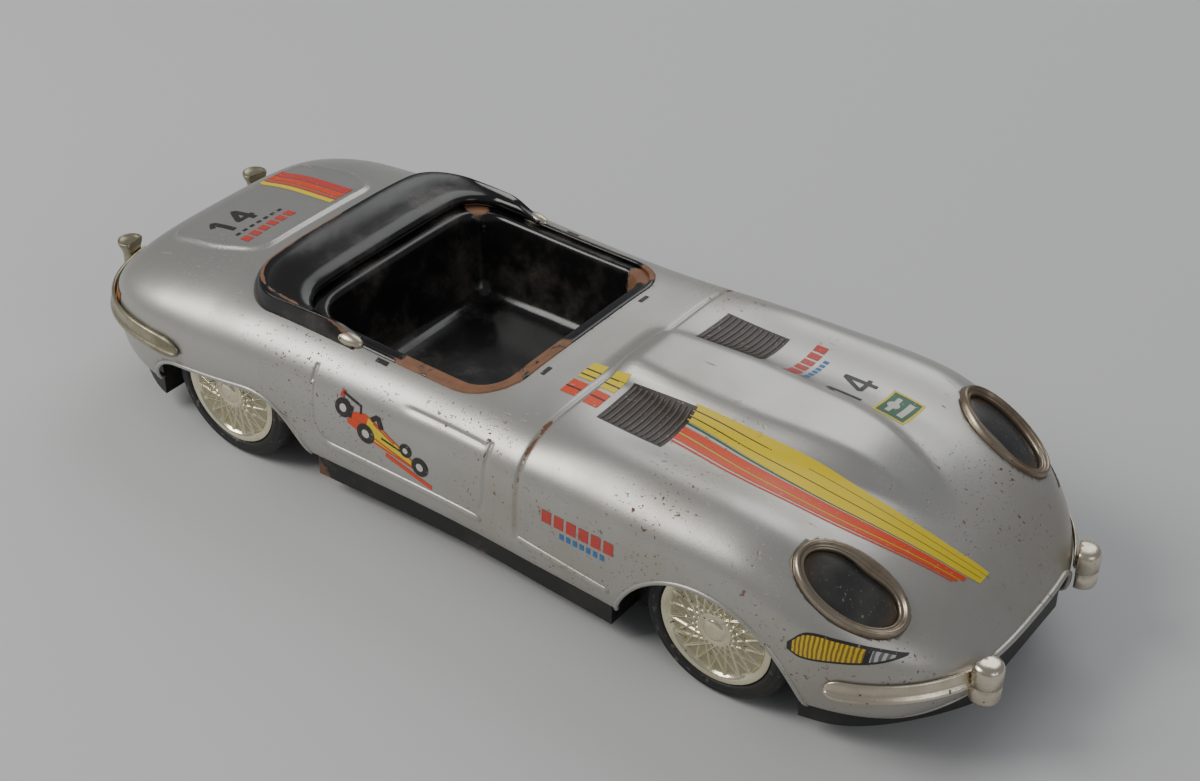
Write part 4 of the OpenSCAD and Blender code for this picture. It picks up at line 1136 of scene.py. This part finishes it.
t = np.linspace(0, 2 * np.pi, 96, endpoint=False)
outer_u, outer_v = lamp_oval(t, (LAMP_SIZE[0] - 0.05, LAMP_SIZE[1] - 0.05))
inner_u, inner_v = lamp_oval(t, LENS_SIZE, LENS_PINCH)
share, height = np.array(BEZEL_PROFILE).T[:, None]
bezel_points = from_lamp(outer_u[:, None] * (1 - share) + inner_u[:, None] * share,
                         outer_v[:, None] * (1 - share) + inner_v[:, None] * share, height + 0 * t[:, None])
lens_r = np.r_[np.linspace(0.02, 0.9, 14), 0.96, 1, 1][:, None]
lens_h = np.r_[-0.75 + 0.85 * (1 - lens_r[:-1, 0] ** 2.4), -1.45][:, None]
lens_points = from_lamp(inner_u * lens_r * 1.01, inner_v * lens_r * 1.01, lens_h + 0 * t)
for side, word in SIDES:
    bezel = add_loft(f"headlight_bezel_{word}_part", bezel_points * [1, side, 1], bezel_metal, "car",
                     True)
    leave_unworn(bezel)
    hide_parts(f"headlight_bezel_{word}")
    glass = add_loft(f"headlight_lens_{word}_part", lens_points * [1, side, 1], lens, "car")
    paint_wear_and_shade(glass, [0.8 * smooth((math.hypot(*(v.co.xy - Vector((LAMP_X, side * LAMP_Y)) * MM))
                                     - 0.007) / 0.003) for v in glass.data.vertices])
    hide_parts(f"headlight_lens_{word}")

# %% [markdown]
# ## Bumpers and overriders
# Four curved blades follow the body's plan, a finger's nail away from it. Each is one bent strip whose lower
# edge is rolled forward and has kept its shine. A round overrider stands at the inner end of each blade.

# %% Bumpers
# (outwards, up) round the blade's section, from the top edge over the outer face to the rolled lower edge
FRONT_BLADE = [(0, 4.4), (0.2, 4.45), (0.45, 4.0), (0.7, 2.9), (0.8, 1.9), (1.2, 1.5), (1.6, 1.1), (1.7, 0.6),
               (1.5, 0.15), (1.1, -0.05), (0.6, 0.1), (0.1, 0.8)]
REAR_BLADE = [(0, 4.9), (0.35, 5.0), (0.9, 4.6), (1.05, 3.6), (0.85, 2.4), (0.95, 1.7), (1.4, 1.35),
              (1.7, 0.75), (1.5, 0.2), (1.0, -0.05), (0.6, 0.05), (0.1, 0.7)]
BUMPERS = {"front": (126.6, 103.0, 19.5, FRONT_BLADE, nickel, "worn_nickel"),
           "rear": (-127.0, -86.0, 27.0, REAR_BLADE, olive_nickel, "worn_nickel")}
BUMPER_GAP, OVERRIDER_Y = 0.25, 23.5
# (radius, height) up each overrider
FRONT_POST = [(0.1, 16.6), (2.9, 16.6), (3.45, 16.9), (3.6, 17.5), (3.6, 20.4), (3.42, 20.6), (3.42, 20.9),
              (3.6, 21.1), (3.65, 24.6), (3.5, 25.5), (3.1, 26.15), (2.4, 26.5), (1.4, 26.65), (0.1, 26.7)]
REAR_POST = [(0.1, 23.5), (2.3, 23.5), (2.7, 23.9), (2.65, 26), (2.4, 29), (2.4, 31), (2.7, 32.4),
             (3.2, 33.4), (3.45, 34.3), (3.4, 34.8), (3.0, 34.9), (2.6, 34.5), (1.2, 34.3), (0.1, 34.3)]


def bumper_line(start, stop, off, steps=60):
    """The body's plan from one place to another, moved outwards, with points closest at the car's end."""
    x = start + (stop - start) * np.linspace(0, 1, steps) ** 2
    run = (half_width(x + 0.05) - half_width(x - 0.05)) / 0.1
    k = off / np.sqrt(1 + run**2)
    return x - run * k, half_width(x) + k


def plan_end(y, end):
    """How far the body's plan reaches at y, at the nose (1) or at the tail (-1)."""
    x = np.linspace(129.99, 95, 400) if end > 0 else np.linspace(-127.99, -90, 400)
    return np.interp(np.abs(y), half_width(x), x)


for arch, (start, stop, z, section, metal, slot) in BUMPERS.items():
    x, y = bumper_line(start, stop, BUMPER_GAP)
    path, t = np.stack([x, y, z + 0 * x], -1), np.linspace(0, 1, len(x))
    round_end = end_round(t, 0.93, 0.075, 2)
    blade = sweep(path, np.broadcast_to([0, 0, 1.0], path.shape), section,
                  scale=np.stack([0.3 + 0.7 * round_end, round_end], -1))
    if arch == "rear":
        blade[..., 1] = y[:, None] * 2 - blade[..., 1]
        blade[..., 0] = x[:, None] * 2 - blade[..., 0]
    blade[..., 2] += (1 - round_end[:, None]) * 1.8
    end = 1 if arch == "front" else -1
    post = lathe(FRONT_POST if end > 0 else REAR_POST, 40).transpose(1, 0, 2) + [129.2 * end, OVERRIDER_Y, 0]
    wall = plan_end(post[..., 1], end) + end * 1.3
    post[..., 0] = np.maximum(post[..., 0], wall) if end > 0 else np.minimum(post[..., 0], wall)
    for side, word in SIDES:
        piece = add_loft(f"{arch}_bumper_{word}_blade", blade * [1, side, 1], metal, "car")
        leave_unworn(piece)
        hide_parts(f"{arch}_bumper_{word}")
        piece = add_loft(f"{arch}_overrider_{word}_post", post * [1, side, 1], metal, "car")
        leave_unworn(piece)
        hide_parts(f"{arch}_overrider_{word}")

# %% [markdown]
# ## The cockpit tub
# One deep black pan fills the cockpit: a narrow flange under the shell's rim, a wall that falls in a soft
# curve and a flat floor. The pan is a stack of rings, from the middle of its underside out to the flange and
# back to the middle. A thin lip closes the joint between the flange and the shell.

# %% Cockpit tub
def tub_wear(p):
    """Rust on the flange: along the right, over the front right, in patches at both left corners."""
    x, y, z = p[:, 0], p[:, 1], p[:, 2]
    near_edge = rounded_box(x - (COCKPIT_FRONT + COCKPIT_REAR) / 2, y, (COCKPIT_FRONT - COCKPIT_REAR) / 2,
                            COCKPIT_HALF_WIDTH, COCKPIT_CORNER)
    right = smooth((-24 - y) / 6) * smooth((x + 30) / 10) * np.interp(x, [-25, -6], [0.62, 0.95])
    front = 0.72 * smooth((x + 2) / 4) * smooth((6 - y) / 14)
    patches = bell((x - 1) / 6) * bell((y - 31) / 6) + 0.9 * bell((x + 53) / 5) * bell((y - 31) / 4)
    wear = smooth((near_edge + 5.4) / 1.4) * (z > 40) * (right + front)
    return np.clip(wear + 1.3 * smooth((near_edge + 7) / 2.5) * (z > 38) * patches, 0, 1)


TUB_FLOOR_Z, TUB_WALL, FLANGE_GAP, LIP_BEAD = 24.5, 0.7, 0.25, np.array([0.85, 0.5])
# (growth of the outline, share of the way down) from the flange's edge to the floor
TUB_LEVELS = [(1.5, 0), (0, 0), (-1.8, 0), (-3.4, 0.006), (-4.2, 0.04), (-4.8, 0.13), (-5.4, 0.28),
              (-6.0, 0.47), (-6.7, 0.66), (-7.6, 0.82), (-8.8, 0.93), (-10.2, 0.98), (-12, 1)]


def tub_ring(grow, share, drop):
    p = cockpit_ring(grow, COCKPIT_REAR, 200)
    top = top_z(p[:, 0], p[:, 1]) - SKIN - FLANGE_GAP
    return np.column_stack([p, top + (TUB_FLOOR_Z - top) * share - drop])


def floor_rings(scales, drop):
    """Rings that close the floor towards its middle."""
    edge = tub_ring(-12, 1, drop)
    middle = edge.mean(0)
    return [middle + (edge - middle) * [s, s, 1] for s in scales]


levels = np.array(TUB_LEVELS)
levels = np.stack([np.interp(np.linspace(0, 12, 61), np.arange(13), axis) for axis in levels.T], -1)
levels[2:-2] = (levels[:-4] + 2 * levels[1:-3] + 3 * levels[2:-2] + 2 * levels[3:-1] + levels[4:]) / 9
tub_rings = (floor_rings((0.01, 0.5), TUB_WALL) + [tub_ring(*level, TUB_WALL) for level in levels[::-1]]
             + [tub_ring(*level, 0) for level in levels] + floor_rings((0.8, 0.6, 0.4, 0.2, 0.01), 0))
tub = add_loft("tub", np.array(tub_rings), black_gloss, "car")
p = points_of(tub)
paint_wear_and_shade(tub, tub_wear(p))
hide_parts("cockpit_tub")
rim = cockpit_ring(0, COCKPIT_REAR - 8)
lip = add_sweep("tub_lip", on_top(rim[:, 0], rim[:, 1], -0.2), top_normal(rim[:, 0], rim[:, 1]),
                LIP_BEAD * ring_section(1), black_gloss, "car", closed=True)
paint_wear_and_shade(lip, tub_wear(points_of(lip)))

# %% [markdown]
# ## The folded top
# The hood lies folded behind the cockpit, as one black pressing in the shape of a U. Its outer band climbs to
# a crest, worn through to rust, and a broad inner slope falls from there to the tub. Its two arms end in
# bright tips.

# %% Folded top
TOP_REAR, TOP_TIP, TOP_HALF_WIDTH, TOP_RISE, CREST_INSET = -74.6, -35.0, 37.9, 4.4, 2.5
# (share of the way from the outer edge to the crest, share of the rise), then the same from the crest inwards
OUTER_BAND = [(0, 0), (0.1, 0.28), (0.35, 0.6), (0.7, 0.88), (0.9, 0.98), (1, 1)]
INNER_SLOPE = [(0.05, 0.98), (0.14, 0.9), (0.3, 0.78), (0.5, 0.67), (0.72, 0.58), (0.9, 0.48), (1, 0.3)]


def u_outline(rear, half, corner):
    """Points of a U from its right tip round the back to its left tip."""
    a = np.linspace(0, np.pi / 2, 20)
    arm = np.column_stack([np.linspace(TOP_TIP, rear + corner, 30)[:-1], np.full(29, half)])
    bend = np.column_stack([rear + corner - corner * np.sin(a), half - corner + corner * np.cos(a)])
    back = np.column_stack([np.full(15, rear), np.linspace(half - corner, 0, 16)[1:]])
    left = np.vstack([arm, bend, back])
    return np.vstack([left * [1, -1], left[-2::-1]])


outer, inner = u_outline(TOP_REAR, TOP_HALF_WIDTH, 12), u_outline(COCKPIT_REAR + 0.6, COCKPIT_HALF_WIDTH
                                                                  - 1.4, 9)
crest = np.clip(CREST_INSET / np.linalg.norm(outer - inner, axis=1), 0.16, 0.45)[:, None]
band, slope = np.array(OUTER_BAND).T, np.array(INNER_SLOPE).T
across = np.hstack([crest * band[0], crest + (1 - crest) * slope[0]])
rise = np.append(band[1], slope[1]) * (0.3 + 0.7 * smooth((TOP_TIP - outer[:, :1]) / 14)) * TOP_RISE
plan = outer[:, None] * (1 - across[..., None]) + inner[:, None] * across[..., None]
upper = np.dstack([plan, top_z(plan[..., 0], plan[..., 1]) + 0.05 + rise])
lower = np.dstack([plan[:, ::-1], top_z(plan[:, ::-1, 0], plan[:, ::-1, 1]) - 0.1])
cover = add_loft("folded_hood", np.concatenate([upper, lower], 1), black_gloss, "car")
p = points_of(cover)
from_outer = rounded_box(p[:, 0] - 60 - TOP_REAR, p[:, 1], 60, TOP_HALF_WIDTH, 12)
crest_line = bell((-from_outer - np.where(p[:, 0] > -55, 1.7, 2.5)) / 0.75)
paint_wear_and_shade(cover, crest_line * np.where(p[:, 1] < 0, 0.95, 0.6) * (p[:, 2] > top_z(p[:, 0], p[:, 1]) + 1))
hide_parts("folded_top")
TIP_Y, TIP_BACK, TIP_LENGTH, TIP_WIDTH, TIP_HEIGHT = 36.0, 2.5, 4.1, 1.9, 1.7
for side, word in SIDES:
    rings = [[(TOP_TIP - TIP_BACK + TIP_LENGTH * math.sin(a), (TIP_Y + TIP_WIDTH * math.cos(a) * math.cos(b))
               * side, TIP_HEIGHT * math.cos(a) * math.sin(b))
              for b in np.linspace(0, 2 * np.pi, 24, endpoint=False)] for a in np.linspace(-1.5, 1.5, 20)]
    rings = np.array(rings)
    rings[..., 2] += top_z(rings[..., 0], np.full(rings.shape[:2], TIP_Y)) + 0.3
    tip = add_loft(f"hood_tip_{word}", rings, nickel, "car")
    leave_unworn(tip)

# %% [markdown]
# ## The base plate
# A black tin tray closes the car from below. Its wall stands a little inside the sills and shows under them
# as a dark strip, and it steps inwards round the wheels.

# %% Base plate
BASE_X, BASE_Z, WELL_Y, BASE_INSET = (-124.5, 126), 5.0, 32.0, 1.9
WELLS = ((-102.5, -46.5), (45.5, 95.0))


def base_edge(x0, x1):
    x = np.linspace(x0, x1, max(int((x1 - x0) / 2), 2))
    return np.column_stack([x, half_width(x) * curve(EDGE_SHARE, x) - BASE_INSET])


def base_foot(x):
    """Height of the tray's underside, which rises towards the nose and the tail."""
    return BASE_Z + 5 * smooth((x - 100) / 26) + 9 * smooth((-103 - x) / 22)


left = np.vstack([base_edge(BASE_X[0], WELLS[0][0]), [(WELLS[0][0], WELL_Y), (WELLS[0][1], WELL_Y)],
                  base_edge(WELLS[0][1], WELLS[1][0]), [(WELLS[1][0], WELL_Y), (WELLS[1][1], WELL_Y)],
                  base_edge(WELLS[1][1], BASE_X[1])])
outline = np.vstack([left, left[::-1] * [1, -1]])
count = len(outline)
foot = base_foot(outline[:, 0])
rings = np.array([np.column_stack([outline, foot]),
                  np.column_stack([outline, np.maximum(lower_edge(outline[:, 0]), foot) + 1])])
base = make_piece("base_tray", rings, grid_faces(2, count, close_columns=True), black_tin, "car",
                  flat=True, extra=[list(range(count))])
face_out(base)
sheet = base.modifiers.new("thickness", "SOLIDIFY")
sheet.thickness, sheet.offset = 0.8 * MM, -1
p = points_of(base)
paint_wear_and_shade(base, 0.4 * bell((p[:, 2] - BASE_Z) / 1.5) + 0.5 * bell((p[:, 0] + 47) / 6))
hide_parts("base_plate")

# %% [markdown]
# ## The tail's apron
# Behind the rear wheels the shell tucks under. A curved strip of the same tin runs from its hem down to the
# tray.

# %% Tail apron
APRON_FRONT, APRON_DROP, APRON_BULGE = -112, 12, 1.2
APRON_ROWS, APRON_COLUMNS = 10, 90
hem = [path for path in hem_paths() if path[0, 0] < -120][0]
hem = hem[hem[:, 0] < APRON_FRONT]
hem = resample(np.vstack([hem[::-1], hem * [1, -1, 1]]), APRON_COLUMNS)
tray_y = hem[:, 1] * 0.92
tray = np.column_stack([np.clip(hem[:, 0] + 3.2, BASE_X[0], None), tray_y,
                        np.maximum(hem[:, 2] - APRON_DROP, base_foot(hem[:, 0]) + 2.5)])
t = np.linspace(0, 1, APRON_ROWS)[:, None, None]
bulge = np.array([-1.0, 0, 0]) * np.sin(np.pi * t) * APRON_BULGE * (hem[:, :1] < -121)
apron_points = hem * (1 - t) + tray * t + bulge
apron = make_piece("tail_apron", apron_points, grid_faces(APRON_ROWS, APRON_COLUMNS), enamel, "car")
sheet = apron.modifiers.new("thickness", "SOLIDIFY")
sheet.thickness, sheet.offset = 0.4 * MM, 0

# %% [markdown]
# ## Tyres
# The tyres are plain soft rings with round shoulders, turned from one profile.

# %% Tyres
# (radius, height) round the tyre's section; height 0 is its outer side
TYRE_PROFILE = [(13.5, -7.6), (14.4, -8.4), (16.4, -8.5), (17.8, -8.1), (18.6, -7.3), (18.95, -6.2),
                (19, -4.3), (18.95, -2.3), (18.6, -1.2), (17.9, -0.5), (17.2, -0.2), (16.9, -0.3),
                (16.5, -0.12), (15.7, -0.02), (15.1, -0.15), (14.75, -0.5), (14.65, -1.6), (13.5, -1.6)]


def at_wheel(points, arch, side):
    """Puts points of a wheel, lying flat with its outer side up, on its axle."""
    a, b, c = points[..., 0], points[..., 1], points[..., 2]
    return np.stack([AXLE_X[arch] + a, side * (HALF_TRACK + c), AXLE_Z + b], -1)


tyre_points = lathe(TYRE_PROFILE, 120)
for arch in ARCHES:
    for side, word in SIDES:
        tyre = add_loft(f"tyre_{arch}_{word}_rubber", at_wheel(tyre_points, arch, side), rubber,
                        f"{arch}_wheels", True)
        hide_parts(f"tyre_{arch}_{word}")

# %% [markdown]
# ## Wheel discs
# The bright discs are pressed from thin tin: a flat flange, a dished face with two crossing families of spokes
# that leave the hub at a tangent, and a round cap in the middle. The dish between the spokes is painted dull
# and dark, as painted shade between the raised spokes.

# %% Wheel discs
# (radius, height) of the disc without its spokes
DISC_PROFILE = [(0, 0.8), (1.6, 0.72), (2.5, 0.45), (2.75, 0.1), (3.1, -0.15), (3.6, 0.12), (4.1, 0.0),
                (4.6, -0.35), (6, -0.55), (9, -0.85), (11.6, -1.1), (12.1, -1.15), (12.5, -0.75),
                (12.8, -0.3), (13.3, -0.08), (14, -0.05), (14.4, -0.2), (14.6, -0.5)]
DISC_EDGE, DISC_BACK = 14.6, -2.1
SPOKES, SPOKE_START, SPOKE_HEIGHT, SPOKE_HALF = 20, 3.0, 0.6, 0.26


def spokes(r, a):
    """How far the two crossing families of spokes are raised, from 0 to 1, and where the dished face lies."""
    gap, raised = 2 * np.pi / SPOKES, 0
    for turn in (-1, 1):
        along = a - turn * np.arccos(np.clip(SPOKE_START / r, 0, 1)) + (turn + 1) * gap / 4
        off = r * np.abs((along + gap / 2) % gap - gap / 2)
        raised = np.maximum(raised, bell(off / SPOKE_HALF) * (1 - 0.35 * (turn > 0)))
    return raised, smooth((r - 3.9) / 0.8) * smooth((12.5 - r) / 0.5)


def disc_points(rings=66, steps=400):
    r = np.linspace(0.02, DISC_EDGE, rings)[:, None]
    a = np.linspace(0, 2 * np.pi, steps, endpoint=False)
    height = np.interp(r, *np.array(DISC_PROFILE).T) + 0 * a
    height[1:-1] = (height[:-2] + 2 * height[1:-1] + height[2:]) / 4
    raised, dish = spokes(r, a)
    height += SPOKE_HEIGHT * raised * dish
    face = np.stack([r * np.cos(a), r * np.sin(a), height], -1)
    back = np.stack([np.cos(a), np.sin(a), 0 * a], -1)
    rim = back * [DISC_EDGE, DISC_EDGE, 0] + [0, 0, -1.45]
    middle = back * [0.02, 0.02, 0] + [0, 0, DISC_BACK]
    return np.concatenate([face, [rim, middle]])


wheel_face = disc_points()
for arch in ARCHES:
    for side, word in SIDES:
        disc_piece = add_loft(f"wheel_disc_{arch}_{word}_tin", at_wheel(wheel_face, arch, side), gold_chrome,
                              f"{arch}_wheels")
        p = points_of(disc_piece) - [AXLE_X[arch], 0, AXLE_Z]
        raised, dish = spokes(np.maximum(np.hypot(p[:, 0], p[:, 2]), 0.02), np.arctan2(p[:, 2], p[:, 0]))
        # Painted shade: this value dulls and darkens the dish between the raised spokes.
        paint_wear_and_shade(disc_piece, 0.9 * (1 - raised) ** 2 * dish)
        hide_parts(f"wheel_disc_{arch}_{word}")
print("wheels are on")
